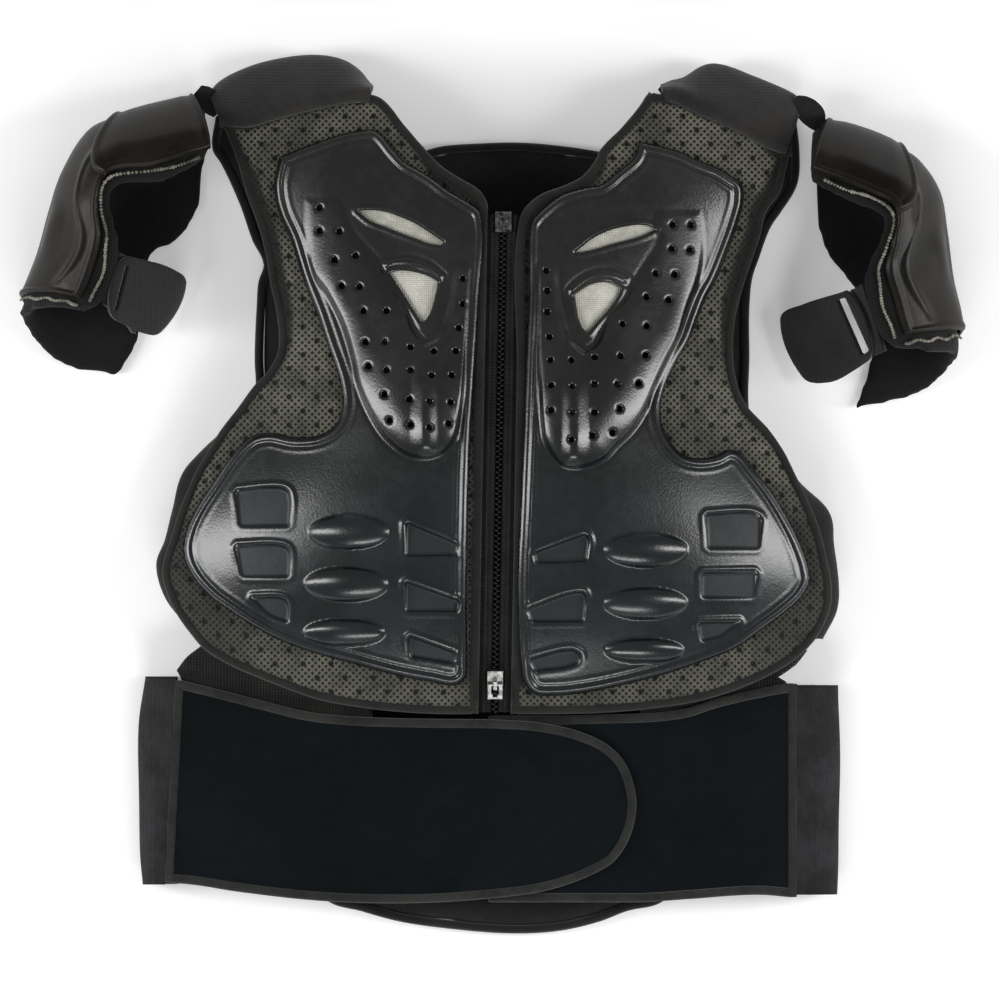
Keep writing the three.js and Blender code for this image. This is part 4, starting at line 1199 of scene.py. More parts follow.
def shared_effect(name: str, inputs: Sockets, outputs: Sequence[tuple[str, str]],
                  write: Callable[[Tree, dict], dict]) -> NodeTree:
    """Makes a node group with named inputs and outputs.

    Args:
        name: the group's name.
        inputs: name, kind and default of each input.
        outputs: name and kind of each output.
        write: writes the inside, from the input sockets to the output values.

    Returns:
        The group.
    """
    made = bpy.data.node_groups.new(name, "ShaderNodeTree")
    for label, kind, value in inputs:
        socket = made.interface.new_socket(label, in_out="INPUT", socket_type="NodeSocket" + kind)
        if value is not None:
            socket.default_value = value
    for label, kind in outputs:
        made.interface.new_socket(label, in_out="OUTPUT", socket_type="NodeSocket" + kind)
    tree = Tree(made)
    start, end = tree.node("NodeGroupInput"), tree.node("NodeGroupOutput")
    results = write(tree, {label: start.outputs[label] for label, _, _ in inputs})
    for label, value in results.items():
        tree.feed(end.inputs[label], value)
    return made


def turned(tree: Tree, vector: object, pitch: object) -> tuple[Socket, ...]:
    """Diagonal coordinates of a vector, one unit per cell of a diamond lattice."""
    x, y, _ = tree.split(vector)
    twice = tree.math("MULTIPLY", pitch, 2.0)
    return (tree.math("DIVIDE", tree.math("ADD", x, y), twice),
            tree.math("DIVIDE", tree.math("SUBTRACT", x, y), twice))


def off_centre(tree: Tree, value: object) -> Socket:
    """Distance of a value to the nearest whole number."""
    return tree.math("ABSOLUTE", tree.math("SUBTRACT", value, tree.math("ROUND", value)))


def write_mottle(tree: Tree, given: dict) -> dict:
    """Writes slow and fine changes of tone."""
    slow = tree.noise(given["Vector"], given["Scale"], 2.0)
    fine = tree.noise(given["Vector"], tree.math("MULTIPLY", given["Scale"], 7.0), 4.0)
    both = tree.math("ADD", tree.math("MULTIPLY", slow, 0.65), tree.math("MULTIPLY", fine, 0.35))
    value = tree.remap(both, 0.36, 0.64)
    return {"Value": value, "Color": tree.blend(value, given["Dark"], given["Light"])}


def write_punched(tree: Tree, given: dict) -> dict:
    """Writes round holes on a diamond lattice, one on the cloth and zero in the holes."""
    one, two = turned(tree, given["Vector"], given["Pitch"])
    a, b = off_centre(tree, one), off_centre(tree, two)
    square = tree.math("ADD", tree.math("MULTIPLY", a, a), tree.math("MULTIPLY", b, b))
    away = tree.math("MULTIPLY", tree.math("SQRT", tree.math("MULTIPLY", square, 2.0)), given["Pitch"])
    low = tree.math("MULTIPLY", given["Radius"], 0.75)
    high = tree.math("MULTIPLY", given["Radius"], 1.25)
    return {"Mask": tree.remap(away, low, high)}


def write_knit(tree: Tree, given: dict) -> dict:
    """Writes crossing diagonal threads, one on the thread and zero between."""
    wobble = tree.math("MULTIPLY", tree.noise(given["Vector"], 900.0, 2.0), given["Wobble"])
    one, two = turned(tree, given["Vector"], given["Pitch"])
    a = off_centre(tree, tree.math("ADD", one, wobble))
    b = off_centre(tree, tree.math("SUBTRACT", two, wobble))
    near = tree.math("MINIMUM", a, b)
    return {"Mask": tree.remap(near, given["Thread"], tree.math("MULTIPLY", given["Thread"], 0.35))}


def write_weave(tree: Tree, given: dict) -> dict:
    """Writes a plain weave's height."""
    x, y, _ = tree.split(tree.scale(given["Vector"], tree.math("DIVIDE", 1.0, given["Pitch"])))
    over = tree.math("MULTIPLY", tree.math("SINE", tree.math("MULTIPLY", x, math.pi)),
                     tree.math("SINE", tree.math("MULTIPLY", y, math.pi)))
    return {"Height": tree.math("ABSOLUTE", over)}


def write_ribs(tree: Tree, given: dict) -> dict:
    """Writes parallel rounded ribs across the first coordinate."""
    x, _, _ = tree.split(given["Vector"])
    away = off_centre(tree, tree.math("DIVIDE", x, given["Pitch"]))
    return {"Height": tree.math("SUBTRACT", 1.0, tree.math("MULTIPLY", away, 2.0))}


def write_grain(tree: Tree, given: dict) -> dict:
    """Writes a fine pebbled grain."""
    made = tree.node("ShaderNodeTexVoronoi", feature="SMOOTH_F1")
    tree.feed(made.inputs["Vector"], given["Vector"])
    tree.feed(made.inputs["Scale"], tree.math("DIVIDE", 1.0, given["Pitch"]))
    return {"Height": made.outputs["Distance"]}


@dataclass
class Effects:
    """Shader groups that several finishes share."""

    mottle: NodeTree = None
    punched: NodeTree = None
    knit: NodeTree = None
    weave: NodeTree = None
    ribs: NodeTree = None
    grain: NodeTree = None

    def build(self) -> "Effects":
        """Makes every group."""
        spot = ("Vector", "Vector", None)
        pitch = ("Pitch", "Float", 0.001)
        self.mottle = shared_effect(
            "mottle", [spot, ("Scale", "Float", 60.0), ("Dark", "Color", None), ("Light", "Color", None)],
            [("Color", "Color"), ("Value", "Float")], write_mottle)
        self.punched = shared_effect("punched", [spot, pitch, ("Radius", "Float", 0.001)],
                                     [("Mask", "Float")], write_punched)
        self.knit = shared_effect(
            "knit", [spot, pitch, ("Thread", "Float", 0.3), ("Wobble", "Float", 0.3)],
            [("Mask", "Float")], write_knit)
        self.weave = shared_effect("weave", [spot, pitch], [("Height", "Float")], write_weave)
        self.ribs = shared_effect("ribs", [spot, pitch], [("Height", "Float")], write_ribs)
        self.grain = shared_effect("grain", [spot, pitch], [("Height", "Float")], write_grain)
        return self


def fresh(name: str) -> tuple[Material, Tree, Node]:
    """Makes an empty material with its shader.

    Args:
        name: the material's name.

    Returns:
        The material, a writer for its tree and its Principled node.
    """
    material = bpy.data.materials.new(name)
    material.use_nodes = True
    material.node_tree.nodes.clear()
    tree = Tree(material.node_tree)
    shader = tree.node("ShaderNodeBsdfPrincipled")
    end = tree.node("ShaderNodeOutputMaterial")
    tree.feed(end.inputs["Surface"], shader.outputs[0])
    return material, tree, shader


def bump(tree: Tree, height: object, distance: float) -> Socket:
    """Turns a height into a normal."""
    made = tree.node("ShaderNodeBump")
    tree.paint(made, {"Strength": 1.0, "Distance": distance, "Height": height})
    return made.outputs[0]


@dataclass(frozen=True)
class Finish:
    """What every finish has: two tones that drift over the surface, and its shine.

    Attributes:
        name: finish name.
        dark: darker tone.
        light: lighter tone.
        drift: patches of tone to a metre.
        roughness: how matt it is.
        specular: strength of the mirror part.
    """

    name: str
    dark: str = "0c0c0e"
    light: str = "1c1b20"
    drift: float = 38.0
    roughness: float = 0.85
    specular: float = 0.25

    def build(self, effects: Effects) -> Material:
        """Makes the material.

        Args:
            effects: the shared groups.

        Returns:
            The material.
        """
        material, tree, shader = fresh(self.name)
        spot = tree.node("ShaderNodeTexCoord").outputs["Object"]
        tone = self.tone(effects, tree, spot, self.dark, self.light)
        look = {"Base Color": tone.outputs["Color"], "Roughness": self.roughness,
                "Specular IOR Level": self.specular}
        look.update(self.look(effects, tree, spot, tone))
        tree.paint(shader, look)
        return material

    def tone(self, effects: Effects, tree: Tree, spot: Socket, dark: str, light: str) -> Node:
        """Places the drifting tones."""
        return tree.group(effects.mottle, Vector=spot, Scale=self.drift, Dark=linear(dark),
                          Light=linear(light))

    def look(self, effects: Effects, tree: Tree, spot: Socket, tone: Node) -> Look:
        """Gives the shader's inputs that are this kind's own.

        Args:
            effects: the shared groups.
            tree: writer for the material's tree.
            spot: the place on the piece.
            tone: the drifting tones.

        Returns:
            Values and sockets by the input's name.
        """
        raise NotImplementedError


@dataclass(frozen=True)
class Moulded(Finish):
    """Moulded plastic with a faint grain.

    Attributes:
        lit_upper_dark: darker tone of the upper part, where it differs; painted light, lighter and warmer
            than the lower part.
        lit_upper_light: lighter tone of the upper part, where it differs; painted light as well.
        coat: strength of the clear gloss.
        grain: height of the pebbles in metres.
    """

    # The plate's darker, teal lower tones are painted shade.
    dark: str = "080d0f"
    light: str = "10171a"
    drift: float = 28.0
    roughness: float = 0.26
    specular: float = 0.5
    lit_upper_dark: str = ""
    lit_upper_light: str = ""
    coat: float = 0.32
    grain: float = 0.00006

    def look(self, effects: Effects, tree: Tree, spot: Socket, tone: Node) -> Look:
        """Adds the upper part's painted lighter tones, dull sunk windows, gloss and grain."""
        colour = tone.outputs["Color"]
        # Painted light and shade: the upper part is painted in lighter, warmer tones, the lower part in
        # darker, teal tones.
        if self.lit_upper_dark:
            far = self.tone(effects, tree, spot, self.lit_upper_dark, self.lit_upper_light).outputs["Color"]
            colour = tree.blend(tree.remap(tree.split(spot)[1], -0.01, 0.07), colour, far)
        sunk = tree.node("ShaderNodeAttribute", attribute_name="sunk").outputs["Fac"]
        rough = tree.remap(tone.outputs["Value"], 0.0, 1.0, self.roughness - 0.03, self.roughness + 0.04)
        pebbles = tree.group(effects.grain, Vector=spot, Pitch=0.0011).outputs["Height"]
        return {
            "Base Color": tree.blend(sunk, colour, linear("0c1014")),
            "Roughness": tree.math("ADD", rough, tree.math("MULTIPLY", sunk, 0.3)),
            "Coat Weight": tree.math("MULTIPLY", tree.math("SUBTRACT", 1.0, sunk), self.coat),
            "Coat Roughness": 0.22,
            "Normal": bump(tree, pebbles, self.grain),
        }


@dataclass(frozen=True)
class PunchedKnit(Finish):
    """Punched padded mesh: pale crossing threads over a dark ground.

    Attributes:
        ground: tone between the threads and in the holes.
        hidden: tone where the threads don't show: the plain border, and the painted shade towards the bottom
            edge.
        hole_pitch: half the holes' spacing across, in metres.
        hole_radius: in metres.
        pitch: half the threads' spacing across, in metres.
    """

    dark: str = "44433c"
    light: str = "66655a"
    drift: float = 45.0
    roughness: float = 0.75
    specular: float = 0.3
    ground: str = "0f0e0c"
    hidden: str = "171614"
    hole_pitch: float = 0.0074
    hole_radius: float = 0.0012
    pitch: float = 0.0018

    def look(self, effects: Effects, tree: Tree, spot: Socket, tone: Node) -> Look:
        """Adds the threads and the punched holes."""
        threads = tree.group(effects.knit, Vector=spot, Pitch=self.pitch, Thread=0.33, Wobble=0.25)
        holes = tree.group(effects.punched, Vector=spot, Pitch=self.hole_pitch, Radius=self.hole_radius)
        mask = tree.math("MULTIPLY", threads.outputs["Mask"], holes.outputs["Mask"])
        # The knit share also carries the painted shade towards the panel's bottom edge.
        shown = tree.node("ShaderNodeAttribute", attribute_name="knit").outputs["Fac"]
        plain = tree.blend(shown, linear(self.hidden), tone.outputs["Color"])
        return {"Base Color": tree.blend(mask, linear(self.ground), plain),
                "Normal": bump(tree, mask, 0.0004)}


@dataclass(frozen=True)
class Woven(Finish):
    """Woven or felted cloth.

    Attributes:
        pitch: yarn spacing in metres.
        height: yarn height in metres.
        sheen: strength of the soft edge light.
        gap: how dark the painted shade between the yarns is.
        own_map: whether the yarns follow the piece's own map.
    """

    pitch: float = 0.0009
    height: float = 0.0002
    sheen: float = 0.2
    gap: float = 0.45
    own_map: bool = False

    def look(self, effects: Effects, tree: Tree, spot: Socket, tone: Node) -> Look:
        """Adds the yarns, painted shade between them, and their sheen."""
        place = spot.node.outputs["UV"] if self.own_map else spot
        yarn = tree.group(effects.weave, Vector=place, Pitch=self.pitch).outputs["Height"]
        # The darker colour between the yarns is painted shade.
        shade = tree.remap(yarn, 0.0, 0.6, 1 - self.gap, 1.0)
        return {
            "Base Color": tree.blend(shade, linear("050505"), tone.outputs["Color"]),
            "Normal": bump(tree, yarn, self.height),
            "Sheen Weight": self.sheen,
            "Sheen Roughness": 0.5,
        }


@dataclass(frozen=True)
class Plush(Finish):
    """Short dense pile.

    Attributes:
        sheen: strength of the soft edge light.
        tint: tone of the soft edge light.
    """

    dark: str = "030709"
    light: str = "080e11"
    drift: float = 16.0
    roughness: float = 0.95
    specular: float = 0.15
    sheen: float = 0.12
    tint: str = "5a6a78"

    def look(self, effects: Effects, tree: Tree, spot: Socket, tone: Node) -> Look:
        """Adds the pile and its sheen."""
        return {
            "Normal": bump(tree, tree.noise(spot, 2200.0, 2.0), 0.0006),
            "Sheen Weight": self.sheen,
            "Sheen Tint": linear(self.tint),
        }


@dataclass(frozen=True)
class Ribbed(Finish):
    """Tape or elastic with raised ribs along it, in the piece's own map.

    Attributes:
        pitch: spacing of the ribs in metres.
        height: height of the ribs in metres.
        plan: whether the ribs follow the layout instead of the piece's map.
    """

    drift: float = 50.0
    roughness: float = 0.8
    specular: float = 0.3
    pitch: float = 0.0011
    height: float = 0.0003
    plan: bool = False

    def look(self, effects: Effects, tree: Tree, spot: Socket, tone: Node) -> Look:
        """Adds the ribs, with painted shade in the grooves between them."""
        place = spot if self.plan else spot.node.outputs["UV"]
        ribs = tree.group(effects.ribs, Vector=place, Pitch=self.pitch).outputs["Height"]
        # The darker colour in the grooves between the ribs is painted shade.
        shade = tree.remap(ribs, 0.0, 0.7, 0.4, 1.0)
        return {"Base Color": tree.blend(shade, linear(self.dark), tone.outputs["Color"]),
                "Normal": bump(tree, ribs, self.height)}


@dataclass(frozen=True)
class Metal(Finish):
    """Plated or painted metal."""

    dark: str = "8a8a88"
    light: str = "d8d8d4"
    drift: float = 400.0
    roughness: float = 0.28
    specular: float = 0.5

    def look(self, effects: Effects, tree: Tree, spot: Socket, tone: Node) -> Look:
        """Makes it metallic."""
        return {"Metallic": 1.0}


# --- front of the vest


@dataclass
class Half:
    """Layout of one half of the vest's front.

    Attributes:
        side: l or r, as seen.
        panel: outline of the padded mesh.
        plate: outline of the moulded plate.
        ridge: outline of the raised ridge.
        holes: centres of the ridge's punched holes.
        cuts: outlines of the larger cuts.
        brow: outline of the lip over the fan-shaped cut.
        windows: outlines of the sunk windows.
        ovals: across, down, half width and half height of the raised ovals.
        insert: outline of the pale sheet behind the cuts.
    """

    side: str
    panel: Sequence
    plate: Sequence
    ridge: Sequence
    holes: Sequence
    cuts: Sequence
    brow: Sequence
    windows: Sequence
    ovals: Sequence
    insert: Sequence

    def __post_init__(self) -> None:
        """Draws the smooth lines from the outlines."""
        self.panel_line = flowing(self.panel, step=3.0)
        self.plate_line = flowing(self.plate, step=2.0)
        self.ridge_line = flowing(self.ridge, step=2.5)
        turn = np.linspace(0, 2 * math.pi, 14, endpoint=False)
        circle = HOLE_R * np.column_stack((np.cos(turn), np.sin(turn)))
        self.hole_lines = [np.array(spot, float) + circle for spot in self.holes]
        self.cut_lines = [flowing(cut, step=1.2, corner=60) for cut in self.cuts]
        self.brow_line = flowing(self.brow, step=1.5)
        self.window_lines = [flowing(rounded(w, 2.8), step=1.6, corner=30) for w in self.windows]
        self.inner = 1.0 if self.side == "l" else -1.0


def rounded(corners: Sequence, radius: float) -> Array:
    """Cuts the corners of an outline, so that a smooth line rounds them."""
    points = np.array(corners, float)
    result = []
    for i, point in enumerate(points):
        for other in (points[i - 1], points[(i + 1) % len(points)]):
            reach = other - point
            result.append(point + reach * min(0.4, radius / np.linalg.norm(reach)))
    return np.array(result)


def punched(spots: Array) -> Array:
    """Depth share of the mesh's punched dimples at layout spots."""
    one = (spots[:, 0] - MID_ACROSS + MID_DOWN - spots[:, 1]) / (2 * HOLE_PITCH)
    two = (spots[:, 0] - MID_ACROSS - MID_DOWN + spots[:, 1]) / (2 * HOLE_PITCH)
    a, b = one - np.rint(one), two - np.rint(two)
    away = HOLE_PITCH * np.sqrt(2 * (a * a + b * b))
    return 1 - ease(1.3, 4.2, away)


@dataclass
class Plate:
    """Moulded chest plate with its ridge, windows and ovals."""

    half: Half
    shop: Workshop
    step: float = 1.5

    def height(self, spots: Array, plan: Array) -> Array:
        """Height of the plate's outer face.

        Args:
            spots: layout spots.
            plan: the same in metres.

        Returns:
            Heights in metres.
        """
        half = self.half
        rise = chest(plan) + PLATE_T * 0.2
        edge = depth_inside(spots, half.plate_line, 20)
        rise += MM * (0.75 * bell(edge, 5.0, 4.2) - 0.4 * bell(edge, 9.5, 3.0)
                      + 0.25 * bell(edge, 13.0, 3.6) - 1.5 * (1 - ease(-0.5, 3.0, edge)))
        rise += self.ridge(spots)
        rise += self.windows(spots)
        rise += self.ovals(spots)
        brow = depth_inside(spots, half.brow_line, 12)
        rise += MM * (1.5 * ease(-1.0, 2.6, brow) - 0.5 * bell(brow, -3.5, 2.5))
        for line in half.cut_lines:
            cut = depth_inside(spots, line, 14)
            rise += MM * (0.5 * bell(cut, -3.0, 3.0) - 0.6 * ease(-2.2, 0, cut))
        for line in half.hole_lines:
            away = np.linalg.norm(spots - line.mean(0), axis=1)
            rise -= MM * HOLE_DISH * (1 - ease(HOLE_R, HOLE_RIM, away))
        return rise

    def ridge(self, spots: Array) -> Array:
        """Height of the V-shaped ridge over the plate."""
        half = self.half
        inside = depth_inside(spots, half.ridge_line, 12)
        centre = half.ridge_line[:, 0].mean()
        inner_leg = ease(0, 40, (spots[:, 0] - centre) * half.inner)
        fade = 0.08 + 0.92 * ease(200, 365, spots[:, 1])
        lower_leg = 1 - 0.45 * inner_leg * (1 - ease(330, 400, spots[:, 1]))
        share = np.clip((inside + 2) / (19 + 24 * ease(300, 410, spots[:, 1])), 0, 1)
        body = np.sqrt(np.clip(1 - (1 - share) ** 2.0, 0, 1)) * ease(-2, 5, inside)
        crease = -0.35 * bell(inside, -2.5, 3.5) * fade
        nose = 1 + 0.4 * ease(320, 420, spots[:, 1])
        tip = half.ridge_line[np.argmax(half.ridge_line[:, 1]), 0]
        keel = KEEL_H * bell(spots[:, 0], tip, 15) * ease(345, 390, spots[:, 1]) * ease(2, 14, inside)
        return RIDGE_H * nose * body * fade * lower_leg + MM * crease + keel

    def windows(self, spots: Array) -> Array:
        """Sunk windows with raised upper lips."""
        total = np.zeros(len(spots))
        for line in self.half.window_lines:
            inside = depth_inside(spots, line, 9)
            near = inside > -9
            low, high = line.min(0), line.max(0)
            middle = self.half.ovals[0][0]
            down = (spots[:, 1] - low[1]) / (high[1] - low[1])
            far = np.abs(spots[:, 0] - middle)
            reach = np.abs(np.array([low[0], high[0]]) - middle)
            out = (far - reach.min()) / (reach.max() - reach.min())
            side = 1.0 if (low[0] + high[0] < 2 * middle) == (self.half.side == "l") else 0.0
            strength = 1 - 0.85 * np.clip(0.62 * out * side + 0.42 * down, 0, 1)
            floor = -WINDOW_DEEP * ease(-0.2, 2.4, inside) * strength
            lip = WINDOW_LIP * bell(inside, -3.0, 3.6) * (1 - 0.8 * ease(0.0, 0.7, down))
            total += np.where(near, floor + lip, 0)
        return total

    def ovals(self, spots: Array) -> Array:
        """Raised ovals."""
        total = np.zeros(len(spots))
        for across, down, wide, high in self.half.ovals:
            x, y = (spots[:, 0] - across) / wide, (spots[:, 1] - down) / (OVAL_FULL * high)
            total += OVAL_H * np.clip(1 - x * x - y * y, 0, 1) ** 0.62
        return total

    def build(self) -> None:
        """Makes the plate."""
        half = self.half
        mesh = cut_out(half.plate_line, half.cut_lines + half.hole_lines, self.step)
        spots = raise_sheet(mesh, self.height)
        piece = self.shop.piece(f"plate_{half.side}", mesh, "plate", Slot.PLATE)
        inside = np.max([depth_inside(spots, line, 9) for line in half.window_lines], axis=0)
        write_shares(piece, "sunk", ease(0.5, 2.5, inside))
        thicken(piece, PLATE_T * 0.8)
        self.shop.tie(piece, [f"chest_plate_{half.side}"])


@dataclass
class FrontPanel:
    """Padded mesh panel with its bound edge."""

    half: Half
    shop: Workshop
    step: float = 2.6

    def height(self, spots: Array, plan: Array) -> Array:
        """Height of the padded mesh's outer face."""
        edge = depth_inside(spots, self.half.panel_line, 10)
        plate = depth_inside(spots, self.half.plate_line, 30)
        under = ease(-1, 6, plate)
        free = (1 - under) * ease(2, 12, edge)
        puff = 1.1 * free * ease(0, 9, -plate)
        rise = panel_top(plan) + MM * (puff - 1.2 * (1 - ease(0, 8, edge)) - 0.5 * under)
        return rise - DIMPLE_DEEP * punched(spots) * free + MM * 0.25 * ripple(plan, 0.03, 4) * free

    def shown(self, spots: Array) -> Array:
        """How clearly the pale threads show at layout spots: least by the arms, zip and lower tips, and less
        towards the bottom edge, which is painted shade.
        """
        edge = depth_inside(spots, self.half.panel_line, 10)
        x, y = np.abs(spots[:, 0] - ZIP_MIDDLE), spots[:, 1]
        border = 15 - 9 * ease(290, 400, y) - 8 * (1 - ease(140, 185, y))
        zip_side = np.maximum(ease(22, 36, x), ease(683, 690, y))
        tip = 1 - 0.75 * ease(470, 540, y) * (1 - ease(640, 690, y)) * ease(215, 280, x)
        # The last factor darkens the threads towards the bottom edge: painted shade.
        return ease(border - 3, border + 3, edge) * zip_side * tip * (1 - 0.3 * ease(640, 680, y))

    def build(self) -> None:
        """Makes the panel and its binding."""
        side = self.half.side
        mesh = cut_out(self.half.panel_line, [], self.step)
        spots = raise_sheet(mesh, self.height)
        panel = self.shop.piece(f"mesh_panel_{side}", mesh, "mesh", Slot.MESH)
        # The knit share also holds the painted shade towards the bottom edge.
        write_shares(panel, "knit", self.shown(spots))
        thicken(panel, PANEL_T)
        self.shop.tie(panel, [f"front_panel_{side}"])
        self.binding()

    def binding(self) -> None:
        """Makes the folded tape round the panel's edge."""
        side = self.half.side
        line = flowing(inset(self.half.panel_line, 4.6), step=3.0)
        plan = to_plan(line)
        height = panel_middle(plan) + MM * 0.12 * ripple(plan, 0.02, 8)
        path = np.column_stack((plan, height))
        mesh = sweep(path, upward(chest, plan), oval_profile(BINDING_W, PANEL_T + 1.8 * MM, 14))
        piece = self.shop.piece(f"binding_{side}", mesh, "binding", Slot.BINDING)
        self.shop.tie(piece, [f"front_binding_{side}"])


@dataclass
class Inserts:
    """Pale sheets behind the cuts of the plates."""

    halves: Sequence[Half]
    shop: Workshop

    def build(self) -> None:
        """Makes both sheets, each clipped inside its plate."""
        for half in self.halves:
            self.shop.sheet(f"insert_{half.side}", flowing(half.insert, step=3.0), 4.0,
                            lambda spots, plan: chest(plan) - PLATE_T + 0.45 * MM
                            + self.swell(half, spots), "insert", Slot.INSERT, Hold.LAID,
                            [f"mesh_panel_{half.side}"], f"vent_insert_{half.side}", 0.6 * MM)

    @staticmethod
    def swell(half: Half, spots: Array) -> Array:
        """Slight rise of the pale sheet inside the fan-shaped cut."""
        return 0.5 * MM * ease(-4, 12, depth_inside(spots, half.cut_lines[1], 20))


# --- back, shoulders and sides


@dataclass
class BackPanel:
    """Padded back panel with its collar and tail."""

    shop: Workshop

    def build(self) -> None:
        """Makes the back panel, fills it and binds its edge."""
        line = flowing(BACK, step=5.0)
        mesh = cut_out(line, [], 9.0)
        raise_sheet(mesh, lambda spots, plan: np.full(len(spots), BACK_T - 0.6 * MM))
        piece = self.shop.piece("back", mesh, "lining", Slot.CLOTH)
        thicken(piece, BACK_T - 1.2 * MM)
        bake(piece)
        Puffing(voxel=0.005, cap=0.0022).fill(piece)
        settle(piece, BACK_T + 1.2 * MM)
        self.shop.tie(piece, ["back_panel"])
        self.edge(line)

    def edge(self, line: Array) -> None:
        """Makes the edge tape that shows in the neck and round the tail."""
        tape = flowing(inset(line, 4.0), step=6.0)
        plan = to_plan(tape)
        path = np.column_stack((plan, np.full(len(plan), BACK_T / 2 + 0.4 * MM)))
        up = np.tile([0.0, 0.0, 1.0], (len(plan), 1))
        mesh = sweep(path, up, oval_profile(4.6 * MM, BACK_T + 0.6 * MM, 12))
        self.shop.tie(self.shop.piece("back_edge", mesh, "binding", Slot.BINDING))


BAND_LAP = 0.0055


def band_net(rows: Sequence) -> Net:
    """Surface of a shoulder band, from the front panel over to the back."""
    spots = []
    for row in rows:
        plan = to_plan(row)
        start = panel_middle(plan[:1])[0]
        shares = np.array([1, 0.8, 0.42, 0.08, 0])
        line = np.column_stack((plan, BACK_T / 2 + (start - BACK_T / 2) * shares))
        lap = plan[:1] + unit(plan[:1] - plan[1:2]) * BAND_LAP
        first = np.column_stack((lap, panel_top(lap) - BAND_T / 2 + 1.1 * MM))
        line[0, 2] += 3.0 * MM
        spots.append(np.concatenate((first, line)))
    return Net(np.array(spots), BAND_T / 2)


def side_net(rows: Sequence) -> Net:
    """Surface of a side panel, from under the front panel round to the back."""
    low = BACK_T + FIT_GAP + CLOTH_T / 2
    spots = []
    for down, start, wide, end in rows:
        x = np.array([start, 0.45 * start + 0.55 * wide, wide, 0.55 * end + 0.45 * wide, end])
        plan = to_plan(np.column_stack((x, np.full(5, down))))
        drop = PLATE_T + FIT_GAP + PANEL_T + 2 * FIT_GAP + CLOTH_T / 2
        top = chest(plan[:1])[0] - drop
        outer = chest(to_plan([[(start + wide) / 2, down]]))[0] - drop
        heights = [top - FIT_GAP, outer - 2 * FIT_GAP, (outer + low) / 2, low + FIT_GAP, low]
        spots.append(np.column_stack((plan, heights)))
    return Net(np.array(spots), low)


@dataclass
class Wrap:
    """Bands, side panels and elastics that turn from the front to the back."""

    shop: Workshop

    def closed(self, name: str, net: Net, cells: tuple[int, int], thickness: float, finish: str,
               slot: Slot, relief: Optional[Callable] = None, corners: Sequence = UNIT_SQUARE,
               offset: float = 0.0, flip: float = 1.0, bend: float = 0.0,
               sheet: Optional[tuple[Hold, Sequence[str]]] = None) -> Piece:
        """Makes a closed sheet over a net.

        Args:
            name: the piece's name.
            net: its middle surface.
            cells: faces along and across.
            thickness: in metres.
            finish: name of its finish.
            slot: the frame's finish it stands for.
            relief: extra height over the sheet.
            corners: part of the net it covers.
            offset: distance from the net's middle.
            flip: side of the net that is outside.
            bend: how far its far end waves along the net.
            sheet: how a sheet of cloth is held and what it lies on.

        Returns:
            The piece.
        """
        outside = offset + thickness / 2
        mesh = drape_net(net, corners, cells, outside, relief, flip, bend)
        spots = spots_of(mesh)
        spots[:, 2] = np.maximum(spots[:, 2], FLOOR_GAP)
        place_verts(mesh, spots)
        piece = self.shop.piece(name, mesh, finish, slot)
        if sheet:
            self.shop.cloth(piece, sheet[0], sheet[1], net_size(net))
        return thicken(piece, thickness)

    @staticmethod
    def pillow(spots: Array, s: Array, t: Array) -> Array:
        """Soft rise away from a band's edges, with faint wrinkles."""
        rim = np.minimum.reduce([ease(0, 0.12, s), ease(0, 0.12, 1 - s), ease(0, 0.1, t)])
        return MM * (1.3 * rim + 0.3 * ripple(spots, 0.03, 11) * rim)

    @staticmethod
    def folds(spots: Array, s: Array, t: Array) -> Array:
        """Shallow folds running down a side panel."""
        inner = ease(0, 0.15, s) * ease(0, 0.15, 1 - s)
        return MM * 0.5 * ripple(spots * [1, 0.35, 1], 0.02, 17) * inner

    def bands(self) -> None:
        """Makes the padded shoulder bands."""
        for side, rows in (("l", BAND_L), ("r", BAND_R)):
            piece = self.closed(f"band_{side}", band_net(rows), (52, 44), BAND_T, "band", Slot.BAND,
                                self.pillow)
            bake(piece)
            settle(piece)
            self.shop.tie(piece, [f"shoulder_band_{side}"])

    def sides(self) -> None:
        """Makes the side panels under the arms."""
        for side, rows, flip in (("l", SIDE_L, -1.0), ("r", SIDE_R, 1.0)):
            piece = self.closed(f"side_{side}", side_net(rows), (60, 40), CLOTH_T, "cloth", Slot.CLOTH,
                                self.folds, flip=flip, sheet=(Hold.FOLDED, ["back"]))
            self.shop.tie(piece, [f"side_panel_{side}"])


@dataclass
class Gussets:
    """Cloth between the front panels and the belt."""

    shop: Workshop

    @staticmethod
    def height(spots: Array, plan: Array) -> Array:
        """Height of the cloth's outer face."""
        under_panel = panel_top(plan) - PANEL_T - 3 * FIT_GAP
        under_belt = belt_middle(plan) - CLOTH_T / 2 - 0.8 * MM - 2 * FIT_GAP
        return np.minimum(under_panel, under_belt) - MM * 0.35 * (1 + ripple(plan, 0.02, 31))

    def build(self) -> None:
        """Makes both gussets."""
        for side, outline in (("l", GUSSET_L), ("r", GUSSET_R)):
            self.shop.sheet(f"gusset_{side}", flowing(outline, step=3.0), 3.0, self.height, "gusset",
                            Slot.CLOTH, Hold.STRETCHED, [f"mesh_panel_{side}", f"flap_{side}"],
                            f"belt_gusset_{side}")


